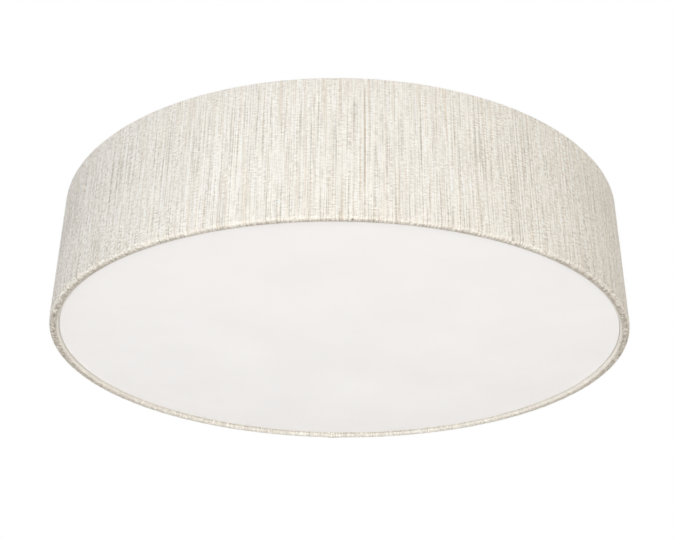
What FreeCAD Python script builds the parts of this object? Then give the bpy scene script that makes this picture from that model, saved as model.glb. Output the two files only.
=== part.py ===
import FreeCAD, Part
import Sketcher
import os
from math import cos, pi, sin, tan

# Flush mount ceiling light: a straight fabric drum over four lamps, closed below by an opal disc.
# Millimetres. The ceiling is the plane z = 0, everything hangs below it, and the Z axis is the
# drum's own axis. Lamps lie along X and Y, the arms that carry the shade lie between them.

DRIVING = {
    # the shade: a drum of fabric over a stiff liner, folded over a strip above and rolled over a wire below
    "shade_diameter": 610.0,
    "shade_height": 140.7,
    "ceiling_gap": 3.0,
    "fabric_wall": 0.6,
    "liner_wall": 0.5,
    "glue_gap": 0.3,
    "hem_gap": 0.5,
    "hem_wall": 1.0,
    "bottom_wire": 5.6,
    "top_strip_wall": 1.5,
    "top_strip_height": 14.0,
    "top_return": 8.0,
    # the ring inside the shade that the opal disc's magnets hold on to
    "seat_wall": 1.0,
    "seat_upright": 15.0,
    "seat_width": 22.0,
    # the opal disc and its magnets
    "disc_thickness": 3.0,
    "disc_recess": 5.0,
    "disc_edge_gap": 1.0,
    "disc_chamfer": 0.5,
    "magnet_diameter": 10.0,
    "magnet_height": 2.0,
    "magnet_inset": 12.0,
    # the pan under the ceiling and the strap that carries it
    "pan_diameter": 290.0,
    "pan_depth": 25.0,
    "pan_wall": 1.0,
    "pan_corner": 8.0,
    "strap_length": 122.0,
    "strap_width": 20.0,
    "strap_wall": 2.0,
    "strap_corner": 3.0,
    "strap_centre_hole": 10.0,
    "box_spacing": 88.9,
    "slot_length": 12.0,
    "slot_width": 5.0,
    "pan_stud_reach": 34.0,
    "pan_stud_diameter": 4.0,
    "pan_stud_below": 6.5,
    "cap_nut_across": 8.0,
    "cap_nut_hex": 4.0,
    "cap_nut_height": 9.0,
    "earth_reach": 22.0,
    "earth_head": 9.0,
    "earth_head_height": 2.4,
    "earth_terminal_wall": 0.8,
    # screws that go up through the pan's floor
    "screw_diameter": 4.0,
    "screw_head": 7.0,
    "screw_head_height": 2.2,
    "screw_above": 4.0,
    "screw_gap": 0.2,
    # terminal block in the pan
    "block_side": 54.0,
    "block_height": 12.0,
    "block_corner": 3.0,
    "block_screw_reach": 21.0,
    "port_width": 7.0,
    "port_height": 4.0,
    "port_depth": 9.0,
    "port_pitch": 12.0,
    # leads and their bushings
    "lead_ring": 20.0,
    "lead_diameter": 4.0,
    "lead_gap": 0.2,
    "lead_into_block": 6.0,
    "lead_into_holder": 3.0,
    "bushing_wall": 1.5,
    "bushing_rim": 1.6,
    "earth_lead": 2.0,
    "earth_lead_drop": 14.7,
    "earth_lead_loop": 14.7,
    # lampholders on their brackets
    "lamp_drop": 70.0,
    "holder_rear": 48.0,
    "holder_length": 36.0,
    "holder_diameter": 40.0,
    "holder_neck": 30.0,
    "holder_neck_length": 12.0,
    "holder_floor": 8.0,
    "shell_bore": 26.8,
    "shell_wall": 0.6,
    "shell_length": 26.0,
    "shell_gap": 0.2,
    "contact_width": 5.0,
    "contact_wall": 0.5,
    "bracket_wall": 2.0,
    "bracket_width": 28.0,
    "bracket_foot": 32.0,
    "bracket_below": 10.0,
    "bracket_bend": 3.0,
    "foot_screw_reach": 67.0,
    "foot_screw_side": 8.0,
    "rivet_side": 10.0,
    "rivet_diameter": 3.0,
    "rivet_head": 5.6,
    "rivet_head_height": 1.2,
    "rivet_into_holder": 6.0,
    # lamps
    "lamp_cap_diameter": 26.0,
    "lamp_cap_wall": 0.4,
    "lamp_cap_length": 24.0,
    "lamp_tip_gap": 0.3,
    "lamp_tip": 1.6,
    "lamp_length": 110.5,
    "globe_diameter": 60.0,
    "globe_wall": 1.5,
    "globe_skirt": 15.0,
    # arms from the pan to the shade
    "arm_start": 96.0,
    "arm_end": 293.0,
    "arm_width": 20.0,
    "arm_wall": 1.5,
    "arm_flange": 6.0,
    "arm_flange_start": 152.0,
    "arm_flange_end": 268.0,
    "arm_screw_inner": 108.0,
    "arm_screw_outer": 132.0,
    "hanger_reach": 285.0,
    "hanger_diameter": 5.0,
    "hanger_length": 22.0,
    "hanger_head": 8.0,
    "hanger_head_height": 1.6,
    # lugs on the shade and the knurled nuts below them
    "lug_wall": 1.5,
    "lug_width": 16.0,
    "lug_reach": 270.0,
    "lug_bend": 3.0,
    "lug_gap": 0.3,
    "lug_hole_gap": 0.4,
    "weld_gap": 0.2,
    "nut_diameter": 16.0,
    "nut_height": 10.0,
    "nut_collar": 11.0,
    "nut_collar_height": 2.5,
    "nut_gap": 0.2,
    "nut_bore_gap": 0.1,
}

LAMP_AZIMUTHS = (0, 90, 180, 270)
ARM_AZIMUTHS = (45, 135, 225, 315)
MAGNETS = 6
KNURLS = 24
SEED_RADIUS = 0.2  # a corner starts this small and then takes the size that its expression gives
NEAR = 1e-3  # edges count as being at a place when they are this near it
RUN_SHARE = 0.45  # how much of the shorter run an arc of a lead's route takes up
VOLUME_MATCH = 0.01  # how far a lead's volume may be from its section times its length
BARREL_SHARE = 0.75  # the radius of the earth terminal's barrel, in lead diameters
TAPER_START = 0.25  # where the lamp's collar ends, as a share of the way from the cap to the globe
TAPER_END = 0.65  # where its taper has nearly reached the globe's rim
TAPER_SHARE = 0.84  # how wide it is there, as a share of the rim

doc = FreeCAD.newDocument("flush_mount_ceiling_light")
sheet = doc.addObject("Spreadsheet::Sheet", "Sizes")
for row, (alias, value) in enumerate(DRIVING.items(), 1):
    sheet.set(f"A{row}", alias)
    sheet.set(f"B{row}", str(value))
    sheet.setAlias(f"B{row}", alias)
doc.recompute()

parts = []


def size(alias):
    """A driving dimension, read back from the sheet."""
    return float(sheet.get(alias))


def tied(text):
    """An expression in plain names, with each name of the sheet given its sheet."""
    words = text.replace("(", " ( ").replace(")", " ) ").split()
    joined = " ".join(f"Sizes.{word}" if word in DRIVING else word for word in words)
    return joined.replace("cos (", "cos(").replace("sin (", "sin(")


# places that several pieces share, as expressions in the sheet's names
SHADE_RADIUS = "( shade_diameter / 2 )"
SHADE_BOTTOM = "( 0 - ceiling_gap - shade_height )"
FABRIC_INSIDE = f"( {SHADE_RADIUS} - fabric_wall )"
LINER_OUTSIDE = f"( {FABRIC_INSIDE} - glue_gap )"
LINER_INSIDE = f"( {LINER_OUTSIDE} - liner_wall )"
STRIP_OUTSIDE = f"( {FABRIC_INSIDE} - glue_gap )"
STRIP_INSIDE = f"( {STRIP_OUTSIDE} - top_strip_wall )"
STRIP_TOP = "( 0 - ceiling_gap - fabric_wall - glue_gap )"
STRIP_LOW = f"( {STRIP_TOP} - top_strip_height )"
RETURN_LOW = "( 0 - ceiling_gap - top_return )"
HEM_TURNS = range(0, 181, 30)
BOTTOM_HEM = "( bottom_wire / 2 + hem_gap + hem_wall )"
BOTTOM_WIRE_REACH = f"( {SHADE_RADIUS} - {BOTTOM_HEM} )"
BOTTOM_WIRE_LEVEL = f"( {SHADE_BOTTOM} + {BOTTOM_HEM} )"
DISC_FACE = f"( {SHADE_BOTTOM} + disc_recess )"
DISC_BACK = f"( {DISC_FACE} + disc_thickness )"
DISC_RADIUS = f"( {SHADE_RADIUS} - 2 * {BOTTOM_HEM} - disc_edge_gap )"
SEAT_FACE = f"( {DISC_BACK} + magnet_height )"
SEAT_OUTSIDE = f"( {LINER_INSIDE} - glue_gap )"
PAN_FLOOR = "( 0 - pan_depth )"
PAN_INSIDE = "( pan_wall - pan_depth )"
LUG_TOP = "( 0 - pan_depth - arm_wall - lug_gap )"
LUG_UNDER = f"( {LUG_TOP} - lug_wall )"
NUT_TOP = f"( {LUG_UNDER} - nut_gap )"
HOLDER_FLOOR = "( holder_rear + holder_floor )"
HOLDER_MOUTH = "( holder_rear + holder_length )"
SHELL_OUTSIDE = "( shell_bore / 2 + shell_wall )"
CONTACT_FACE = f"( {HOLDER_FLOOR} + shell_gap + shell_wall + contact_wall + 1 )"
LAMP_START = f"( {CONTACT_FACE} + lamp_tip_gap )"
LAMP_CAP_START = f"( {LAMP_START} + lamp_tip )"
LAMP_CAP_END = f"( {LAMP_CAP_START} + lamp_cap_length )"
GLOBE_CENTRE = f"( {LAMP_START} + lamp_length - globe_diameter / 2 )"
GLOBE_RIM = f"( {GLOBE_CENTRE} - globe_diameter / 2 * sin ( globe_skirt * 1deg ) )"
GLOBE_RIM_RADIUS = "( globe_diameter / 2 * cos ( globe_skirt * 1deg ) )"


def worked_out(text):
    """The number that an expression in the sheet's names comes to, read from a spare cell."""
    sheet.set("D1", "=" + tied(text).replace("Sizes.", ""))
    sheet.recompute()
    return float(sheet.get("D1"))


def turned(reach, azimuth):
    """The two coordinates, as expressions, of a point at a distance and an azimuth from the axis."""
    return f"{reach} * cos ( {azimuth}deg )", f"{reach} * sin ( {azimuth}deg )"


def new_body(label, azimuth=0, level=None):
    """A body named after its piece, turned about the light's axis and set at a level."""
    body = doc.addObject("PartDesign::Body", label)
    body.Label = label
    body.AllowCompound = True
    body.Placement = FreeCAD.Placement(
        FreeCAD.Vector(0, 0, 0), FreeCAD.Rotation(FreeCAD.Vector(0, 0, 1), azimuth)
    )
    if level:
        body.setExpression("Placement.Base.z", tied(level))
    parts.append(body)
    return body


def new_sketch(body, role, offset=None):
    """A sketch on one of the body's own planes, moved along the plane's normal by an expression."""
    sketch = body.newObject("Sketcher::SketchObject", f"{body.Label}_sketch")
    plane = next(f for f in body.Origin.OriginFeatures if f.Role == role)
    sketch.AttachmentSupport = (plane, [""])
    sketch.MapMode = "FlatFace"
    if offset:
        sketch.setExpression("AttachmentOffset.Base.z", tied(offset))
    return sketch


def hold(sketch, geometry, position, place):
    """Ties a point of the sketch to a place given as two expressions."""
    point = sketch.getPoint(geometry, position)
    for kind, now, text in (("DistanceX", point.x, place[0]), ("DistanceY", point.y, place[1])):
        index = sketch.addConstraint(Sketcher.Constraint(kind, -1, 1, geometry, position, now))
        sketch.setExpression(f"Constraints[{index}]", tied(text))


def outline(sketch, points, corners=None):
    """A closed outline of straight lines through points, with a radius at the corners listed."""
    count = len(points)
    first = sketch.GeometryCount
    rough = [
        FreeCAD.Vector(20 + 10 * cos(2 * pi * i / count), 10 * sin(2 * pi * i / count), 0)
        for i in range(count)
    ]
    for i in range(count):
        sketch.addGeometry(Part.LineSegment(rough[i], rough[(i + 1) % count]), False)
    for i in range(count):
        after = first + (i + 1) % count
        sketch.addConstraint(Sketcher.Constraint("Coincident", first + i, 2, after, 1))
    for i, place in enumerate(points):
        hold(sketch, first + i, 1, place)
    doc.recompute()
    for i, radius in (corners or {}).items():
        sketch.fillet(first + (i - 1) % count, 2, SEED_RADIUS, True, True)
        arc = sketch.GeometryCount - 2
        index = sketch.addConstraint(Sketcher.Constraint("Radius", arc, SEED_RADIUS))
        sketch.setExpression(f"Constraints[{index}]", tied(radius))
        doc.recompute()


def circles(sketch, places, diameter):
    """Circles of one diameter, each held at its place."""
    for place in places:
        circle = sketch.addGeometry(Part.Circle(FreeCAD.Vector(), FreeCAD.Vector(0, 0, 1), 1.0))
        hold(sketch, circle, 3, place)
        index = sketch.addConstraint(Sketcher.Constraint("Diameter", circle, 2.0))
        sketch.setExpression(f"Constraints[{index}]", tied(diameter))


def box_corners(x_low, x_high, y_low, y_high):
    """The four corners of an upright rectangle."""
    return [(x_low, y_low), (x_high, y_low), (x_high, y_high), (x_low, y_high)]


def revolve(body, points, corners=None, axis="V_Axis", cut=False):
    """Turns an outline in the XZ plane about the body's Z (V_Axis) or X (H_Axis)."""
    sketch = new_sketch(body, "XZ_Plane")
    outline(sketch, points, corners)
    return turn(body, sketch, axis, cut)


def revolve_circles(body, places, diameter, axis="V_Axis", cut=False):
    """Turns circles in the XZ plane about one of the body's axes."""
    sketch = new_sketch(body, "XZ_Plane")
    circles(sketch, places, diameter)
    return turn(body, sketch, axis, cut)


def turn(body, sketch, axis, cut):
    """A full turn of a sketch, added to the body or cut from it."""
    kind = "PartDesign::Groove" if cut else "PartDesign::Revolution"
    feature = body.newObject(kind, f"{body.Label}_turn")
    feature.Profile = sketch
    feature.ReferenceAxis = (sketch, [axis])
    feature.Angle = 360.0
    doc.recompute()
    return feature


def layer(body, low, height, draw, cut=False):
    """Drawn on a level plane at low and carried up by height, added to the body or cut from it."""
    return extrude(body, "XY_Plane", low, height, draw, cut)


def extrude(body, role, start, length, draw, cut=False):
    """Drawn on a plane moved to start along its normal and carried on by length."""
    sketch = new_sketch(body, role, start)
    draw(sketch)
    before = body.Shape.Volume if cut else 0
    feature = body.newObject("PartDesign::Pocket" if cut else "PartDesign::Pad", f"{body.Label}_layer")
    feature.Profile = sketch
    feature.Reversed = cut
    feature.setExpression("Length", tied(length))
    doc.recompute()
    if cut and not body.Shape.Volume < before:
        raise RuntimeError(f"{body.Label}: {feature.Name} cuts nothing")
    return feature


def pattern(body, feature, count):
    """Repeats a feature evenly about the light's axis."""
    polar = body.newObject("PartDesign::PolarPattern", f"{body.Label}_pattern")
    polar.Originals = [feature]
    axis = next(f for f in body.Origin.OriginFeatures if f.Role == "Z_Axis")
    polar.Axis = (axis, [""])
    polar.Angle = 360.0
    polar.Occurrences = count
    body.Tip = polar
    doc.recompute()
    return polar


def fillet(body, chosen, radius):
    """Rounds the edges of the body's tip that the test picks out."""
    return dress(body, "PartDesign::Fillet", "Radius", chosen, radius)


def chamfer(body, chosen, width):
    """Bevels the edges of the body's tip that the test picks out."""
    return dress(body, "PartDesign::Chamfer", "Size", chosen, width)


def dress(body, kind, name, chosen, amount):
    """Rounds or bevels the chosen edges of the body's tip."""
    base = body.Tip
    edges = [f"Edge{i}" for i, edge in enumerate(base.Shape.Edges, 1) if chosen(edge)]
    feature = body.newObject(kind, f"{body.Label}_edge")
    feature.Base = (base, edges)
    feature.setExpression(name, tied(amount))
    doc.recompute()
    return feature


def level_edge(level):
    """A test for edges that lie wholly at one level, given as an expression."""
    height = worked_out(level)

    def lies_there(edge):
        box = edge.BoundBox
        return abs(box.ZMin - height) < NEAR and abs(box.ZMax - height) < NEAR

    return lies_there


def upright_edge(edge):
    """A straight edge along Z."""
    box = edge.BoundBox
    return box.XLength < NEAR and box.YLength < NEAR


# ---- the ceiling side -------------------------------------------------------------------------


def pan_stud_places():
    """Where the two studs pass from the strap down through the pan."""
    return [("pan_stud_reach", "0"), ("0 - pan_stud_reach", "0")]


def mounting_strap():
    """The flat strap that screws to the ceiling box through two slots."""
    body = new_body("mounting_strap")
    ends = box_corners("0 - strap_length / 2", "strap_length / 2", "0 - strap_width / 2", "strap_width / 2")
    layer(body, "0 - strap_wall", "strap_wall", lambda s: outline(s, ends))
    fillet(body, upright_edge, "strap_corner")
    for sign in ("1", "0 - 1"):
        half = "( slot_length / 2 - slot_width / 2 )"
        middle = f"( {sign} ) * box_spacing / 2"
        side = "slot_width / 2"
        slot = box_corners(f"{middle} - {half}", f"{middle} + {half}", f"0 - {side}", side)
        layer(body, "0 - strap_wall", "strap_wall", lambda s: outline(s, slot), cut=True)
        for end in ("+", "-"):
            place = [(f"{middle} {end} {half}", "0")]
            layer(body, "0 - strap_wall", "strap_wall", lambda s: circles(s, place, "slot_width"), cut=True)
    for places, diameter in (
        ([("0", "0")], "strap_centre_hole"),
        ([("0 - earth_reach", "0")], "screw_diameter + screw_gap"),
    ):
        layer(body, "0 - strap_wall", "strap_wall", lambda s: circles(s, places, diameter), cut=True)


def around(places, azimuths):
    """Each place repeated at the azimuths, as expressions."""
    out = []
    for azimuth in azimuths:
        for x, y in places:
            out.append(
                (
                    f"( {x} ) * cos ( {azimuth}deg ) - ( {y} ) * sin ( {azimuth}deg )",
                    f"( {x} ) * sin ( {azimuth}deg ) + ( {y} ) * cos ( {azimuth}deg )",
                )
            )
    return out


def floor_screw_places():
    """Every screw up through the pan's floor: bracket feet, arms and terminal block."""
    feet = [("foot_screw_reach", "foot_screw_side"), ("foot_screw_reach", "0 - foot_screw_side")]
    arms = [("arm_screw_inner", "0"), ("arm_screw_outer", "0")]
    return around(feet, LAMP_AZIMUTHS), around(arms, ARM_AZIMUTHS), block_screw_places()


def block_screw_places():
    """The two screws that hold the terminal block, at opposite corners."""
    return [("block_screw_reach", "block_screw_reach"), ("0 - block_screw_reach", "0 - block_screw_reach")]


def lead_places():
    """Where the four leads pass up through the pan."""
    return around([("lead_ring", "0")], LAMP_AZIMUTHS)


def ceiling_pan():
    """The drawn steel pan, open to the ceiling."""
    body = new_body("ceiling_pan")
    radius = "pan_diameter / 2"
    revolve(
        body,
        [
            ("0", PAN_FLOOR),
            (radius, PAN_FLOOR),
            (radius, "0"),
            (f"{radius} - pan_wall", "0"),
            (f"{radius} - pan_wall", PAN_INSIDE),
            ("0", PAN_INSIDE),
        ],
        {1: "pan_corner", 4: "pan_corner - pan_wall"},
    )
    feet, arms, block = floor_screw_places()
    hole = "screw_diameter + screw_gap"
    layer(body, PAN_FLOOR, "pan_wall", lambda s: circles(s, feet + arms + block, hole), cut=True)
    stud_hole = "pan_stud_diameter + 2 * screw_gap"
    layer(body, PAN_FLOOR, "pan_wall", lambda s: circles(s, pan_stud_places(), stud_hole), cut=True)
    bushing_hole = "lead_diameter + 2 * lead_gap + 2 * bushing_wall + lead_gap"
    layer(body, PAN_FLOOR, "pan_wall", lambda s: circles(s, lead_places(), bushing_hole), cut=True)


def pan_studs():
    """The two studs welded to the strap, down through the pan."""
    body = new_body("pan_studs")
    low = "( 0 - pan_depth - pan_stud_below )"
    places = pan_stud_places()
    layer(body, low, f"0 - strap_wall - {low}", lambda s: circles(s, places, "pan_stud_diameter"))
    chamfer(body, level_edge(low), "pan_stud_diameter / 8")


def hexagon(place, across):
    """The corners of a hexagon of a given width across its flats."""
    x, y = place
    reach = f"( {across} ) / 2 / cos ( 30deg )"
    return [
        (f"( {x} ) + {reach} * cos ( {angle}deg )", f"( {y} ) + {reach} * sin ( {angle}deg )")
        for angle in range(0, 360, 60)
    ]


def cap_nuts():
    """The two domed nuts that hold the pan up on its studs."""
    body = new_body("cap_nuts")
    hex_low = "( 0 - pan_depth - cap_nut_hex )"
    dome_low = "( 0 - pan_depth - cap_nut_height )"
    for place in pan_stud_places():
        layer(body, hex_low, "cap_nut_hex", lambda s: outline(s, hexagon(place, "cap_nut_across")))
    dome = "cap_nut_across - 0.4"
    layer(body, dome_low, "cap_nut_height - cap_nut_hex", lambda s: circles(s, pan_stud_places(), dome))
    fillet(body, level_edge(dome_low), "cap_nut_across * 0.4")
    bore = "pan_stud_diameter + screw_gap"
    bore_low = "( 0 - pan_depth - pan_stud_below - screw_gap )"
    depth = "pan_stud_below + screw_gap"
    layer(body, bore_low, depth, lambda s: circles(s, pan_stud_places(), bore), cut=True)


def earth_screw():
    """The earth screw in the strap: a hexagon head below it and a shank up through it."""
    body = new_body("earth_screw")
    place = ("0 - earth_reach", "0")
    head_low = "( 0 - strap_wall - earth_terminal_wall - earth_head_height )"
    layer(body, head_low, "earth_head_height", lambda s: outline(s, hexagon(place, "earth_head - 1")))
    chamfer(body, level_edge(head_low), "earth_head_height / 5")
    layer(
        body,
        "0 - strap_wall - earth_terminal_wall",
        "strap_wall + earth_terminal_wall",
        lambda s: circles(s, [place], "screw_diameter"),
    )


def floor_screws():
    """The identical pan-head screws up through the pan's floor."""
    body = new_body("floor_screws")
    feet, arms, block = floor_screw_places()
    for places, seat in (
        (feet, "( 0 - pan_depth - bracket_wall )"),
        (arms, "( 0 - pan_depth - arm_wall )"),
        (block, PAN_FLOOR),
    ):
        head_low = f"( {seat} - screw_head_height )"
        layer(body, head_low, "screw_head_height", lambda s: circles(s, places, "screw_head"))
        fillet(body, level_edge(head_low), "screw_head_height / 2")
        height = f"{PAN_INSIDE} + screw_above - {seat}"
        layer(body, seat, height, lambda s: circles(s, places, "screw_diameter"))


def terminal_block():
    """The moulded block that joins the four leads to the supply, seated on the pan's floor."""
    body = new_body("terminal_block")
    half = "block_side / 2"
    sides = box_corners(f"0 - {half}", half, f"0 - {half}", half)
    layer(body, PAN_INSIDE, "block_height", lambda s: outline(s, sides))
    fillet(body, upright_edge, "block_corner")
    chamfer(body, level_edge(f"{PAN_INSIDE} + block_height"), "block_corner / 3")
    lead_bore = "lead_diameter + 2 * lead_gap"
    depth = "lead_into_block + lead_gap"
    layer(body, PAN_INSIDE, depth, lambda s: circles(s, lead_places(), lead_bore), cut=True)
    rim_bore = "lead_diameter + 4 * lead_gap + 2 * bushing_wall + 2 * bushing_rim"
    rim_depth = "bushing_rim + lead_gap"
    layer(body, PAN_INSIDE, rim_depth, lambda s: circles(s, lead_places(), rim_bore), cut=True)
    screw_bore = "screw_diameter + screw_gap"
    screw_depth = "screw_above + screw_gap"
    layer(body, PAN_INSIDE, screw_depth, lambda s: circles(s, block_screw_places(), screw_bore), cut=True)
    port_low = f"( {PAN_INSIDE} + block_height / 2 - port_height / 2 )"
    for step in (-1, 0, 1):
        port = box_corners(
            f"{step} * port_pitch - port_width / 2",
            f"{step} * port_pitch + port_width / 2",
            port_low,
            f"{port_low} + port_height",
        )
        extrude(body, "XZ_Plane", f"{half} - port_depth", "port_depth", lambda s: outline(s, port), cut=True)


def lead_bushings():
    """The four snap bushings that line the pan's lead holes, with a rim on each side."""
    body = new_body("lead_bushings")
    sleeve = "lead_diameter + 2 * lead_gap + 2 * bushing_wall"
    rim = f"{sleeve} + 2 * bushing_rim"
    low = f"( {PAN_FLOOR} - bushing_rim )"
    layer(body, low, "bushing_rim", lambda s: circles(s, lead_places(), rim))
    layer(body, PAN_FLOOR, "pan_wall", lambda s: circles(s, lead_places(), sleeve))
    top_rim = f"{sleeve} + bushing_rim"
    layer(body, PAN_INSIDE, "bushing_rim", lambda s: circles(s, lead_places(), top_rim))
    bore = "lead_diameter + 2 * lead_gap"
    height = "2 * bushing_rim + pan_wall"
    layer(body, low, height, lambda s: circles(s, lead_places(), bore), cut=True)


def lead_path(points):
    """Straight runs through the points, joined by tangent arcs as large as the shorter run allows."""
    edges = []
    at = points[0]
    for before, corner, after in zip(points, points[1:], points[2:]):
        back = (before - corner).normalize()
        on = (after - corner).normalize()
        turn_by = pi - back.getAngle(on)
        cut_back = RUN_SHARE * min(before.distanceToPoint(corner), after.distanceToPoint(corner))
        radius = cut_back / tan(turn_by / 2)
        start = corner + back * cut_back
        end = corner + on * cut_back
        towards = (back + on).normalize()
        middle = corner + towards * (radius / cos(turn_by / 2) - radius)
        edges += [Part.LineSegment(at, start).toShape(), Part.Arc(start, middle, end).toShape()]
        print(f"lead arc radius {radius:.1f} mm, turn {turn_by / pi * 180:.0f} degrees")
        at = end
    edges.append(Part.LineSegment(at, points[-1]).toShape())
    return Part.Wire(edges)


def lead(label, points, diameter, azimuth=0, ends=()):
    """A round lead along its route, with any solids that are one with it."""
    path = lead_path(points)
    along = path.Edges[0].tangentAt(path.Edges[0].FirstParameter)
    profile = Part.Wire([Part.Circle(points[0], along, diameter / 2).toShape()])
    shape = path.makePipeShell([profile], True, False)
    expected = pi * diameter**2 / 4 * path.Length
    print(f"{label}: length {path.Length:.1f} mm, volume {shape.Volume:.1f} of {expected:.1f} mm3")
    if abs(shape.Volume - expected) > VOLUME_MATCH * expected:
        raise RuntimeError(f"{label}: the tube's volume isn't its section times its length")
    if ends:
        shape = shape.fuse(list(ends)).removeSplitter()
    feature = doc.addObject("Part::Feature", label)
    feature.Label = label
    feature.Shape = shape
    feature.Placement = FreeCAD.Placement(
        FreeCAD.Vector(0, 0, 0), FreeCAD.Rotation(FreeCAD.Vector(0, 0, 1), azimuth)
    )
    parts.append(feature)
    return feature


def lead_sleeve(number, azimuth):
    """The sleeved pair of leads from a lampholder's back up into the terminal block."""
    level = -size("lamp_drop")
    ring = size("lead_ring")
    top = size("pan_wall") - size("pan_depth") + size("lead_into_block")
    points = [
        FreeCAD.Vector(size("holder_rear") + size("lead_into_holder"), 0, level),
        FreeCAD.Vector(ring, 0, level),
        FreeCAD.Vector(ring, 0, top),
    ]
    lead(f"lead_sleeve_{number}", points, size("lead_diameter"), azimuth)


def earth_lead():
    """The earth lead, from a ring terminal under the earth screw round into the terminal block."""
    reach = size("earth_reach")
    wall = size("earth_terminal_wall")
    wire = size("earth_lead")
    top = -size("strap_wall")
    barrel_radius = wire * BARREL_SHARE
    level = top - barrel_radius - wall / 8
    start = size("earth_head")
    side = size("block_side") / 2
    loop = size("earth_lead_loop")
    drop = size("earth_lead_drop")
    points = [
        FreeCAD.Vector(-reach, start, level),
        FreeCAD.Vector(-reach, side + loop, level),
        FreeCAD.Vector(-reach, side + loop, level - drop),
        FreeCAD.Vector(-reach, side, level - drop),
    ]
    ring = Part.makeCylinder(size("earth_head") / 2, wall, FreeCAD.Vector(-reach, 0, top - wall))
    tongue = Part.makeBox(2 * wire, start, wall, FreeCAD.Vector(-reach - wire, 0, top - wall))
    barrel = Part.makeCylinder(
        barrel_radius, 2 * wire, FreeCAD.Vector(-reach, start - wire, level), FreeCAD.Vector(0, 1, 0)
    )
    bore = Part.makeCylinder(
        (size("screw_diameter") + size("screw_gap")) / 2, 2 * wire, FreeCAD.Vector(-reach, 0, top - wire)
    )
    terminal = ring.fuse([tongue, barrel]).cut(bore)
    lead("earth_lead", points, wire, ends=[terminal])


# ---- the lampholders, modelled along X at the lamps' level and then turned ----------------------


def along_lamp(label, azimuth):
    """A body whose X axis is the lamp's own axis."""
    return new_body(label, azimuth, "0 - lamp_drop")


def lampholder_body(number, azimuth):
    """The porcelain lampholder: a narrow neck, a wider skirt, and the bore for the lamp's cap."""
    body = along_lamp(f"lampholder_body_{number}", azimuth)
    skirt = "( holder_rear + holder_neck_length )"
    bore = f"( {SHELL_OUTSIDE} + shell_gap )"
    revolve(
        body,
        [
            ("holder_rear", "0"),
            ("holder_rear", "holder_neck / 2"),
            (skirt, "holder_neck / 2"),
            (f"{skirt} + holder_floor / 2", "holder_diameter / 2"),
            (HOLDER_MOUTH, "holder_diameter / 2"),
            (HOLDER_MOUTH, bore),
            (HOLDER_FLOOR, bore),
            (HOLDER_FLOOR, "0"),
        ],
        {1: "holder_floor / 8", 3: "holder_floor / 4", 4: "holder_floor / 4"},
        "H_Axis",
    )
    depth = "lead_into_holder + lead_gap"
    lead_bore = "lead_diameter + 2 * lead_gap"
    extrude(body, "YZ_Plane", "holder_rear", depth, lambda s: circles(s, [("0", "0")], lead_bore), cut=True)
    rivet_bore = "rivet_diameter + screw_gap"
    extrude(
        body,
        "YZ_Plane",
        "holder_rear",
        "rivet_into_holder + screw_gap",
        lambda s: circles(s, rivet_places(), rivet_bore),
        cut=True,
    )


def rivet_places():
    """The two rivets at a lampholder's back, seen along the lamp's axis."""
    return [("rivet_side", "0"), ("0 - rivet_side", "0")]


def screw_shell(number, azimuth):
    """The brass shell that takes the lamp's cap, with a floor that clears the centre contact."""
    body = along_lamp(f"screw_shell_{number}", azimuth)
    start = f"( {HOLDER_FLOOR} + shell_gap )"
    opening = "( contact_width * 0.9 )"
    revolve(
        body,
        [
            (start, opening),
            (start, SHELL_OUTSIDE),
            (f"{start} + shell_length", SHELL_OUTSIDE),
            (f"{start} + shell_length", "shell_bore / 2"),
            (f"{start} + shell_wall", "shell_bore / 2"),
            (f"{start} + shell_wall", opening),
        ],
        {1: "shell_wall * 1.5", 4: "shell_wall / 2"},
        "H_Axis",
    )


def centre_contacts():
    """The four spring tongues that touch the lamps' tips: a foot, a rise and a flat pad."""
    body = new_body("centre_contacts")
    foot = f"( {HOLDER_FLOOR} )"
    rise = f"( {CONTACT_FACE} )"
    half = "( contact_width / 2 )"
    section = [
        (foot, f"0 - lamp_drop - {half}"),
        (f"{foot} + contact_wall", f"0 - lamp_drop - {half}"),
        (f"{foot} + contact_wall", f"0 - lamp_drop + {half} / 2"),
        (f"{rise} - contact_wall", f"0 - lamp_drop - {half} / 4"),
        (f"{rise} - contact_wall", f"0 - lamp_drop - {half}"),
        (rise, f"0 - lamp_drop - {half}"),
        (rise, f"0 - lamp_drop + {half} / 4"),
        (f"{foot} + contact_wall", f"0 - lamp_drop + {half}"),
        (foot, f"0 - lamp_drop + {half}"),
    ]
    tongue = extrude(
        body, "XZ_Plane", f"0 - {half}", "contact_width", lambda s: outline(s, section)
    )
    pattern(body, tongue, len(LAMP_AZIMUTHS))


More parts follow.
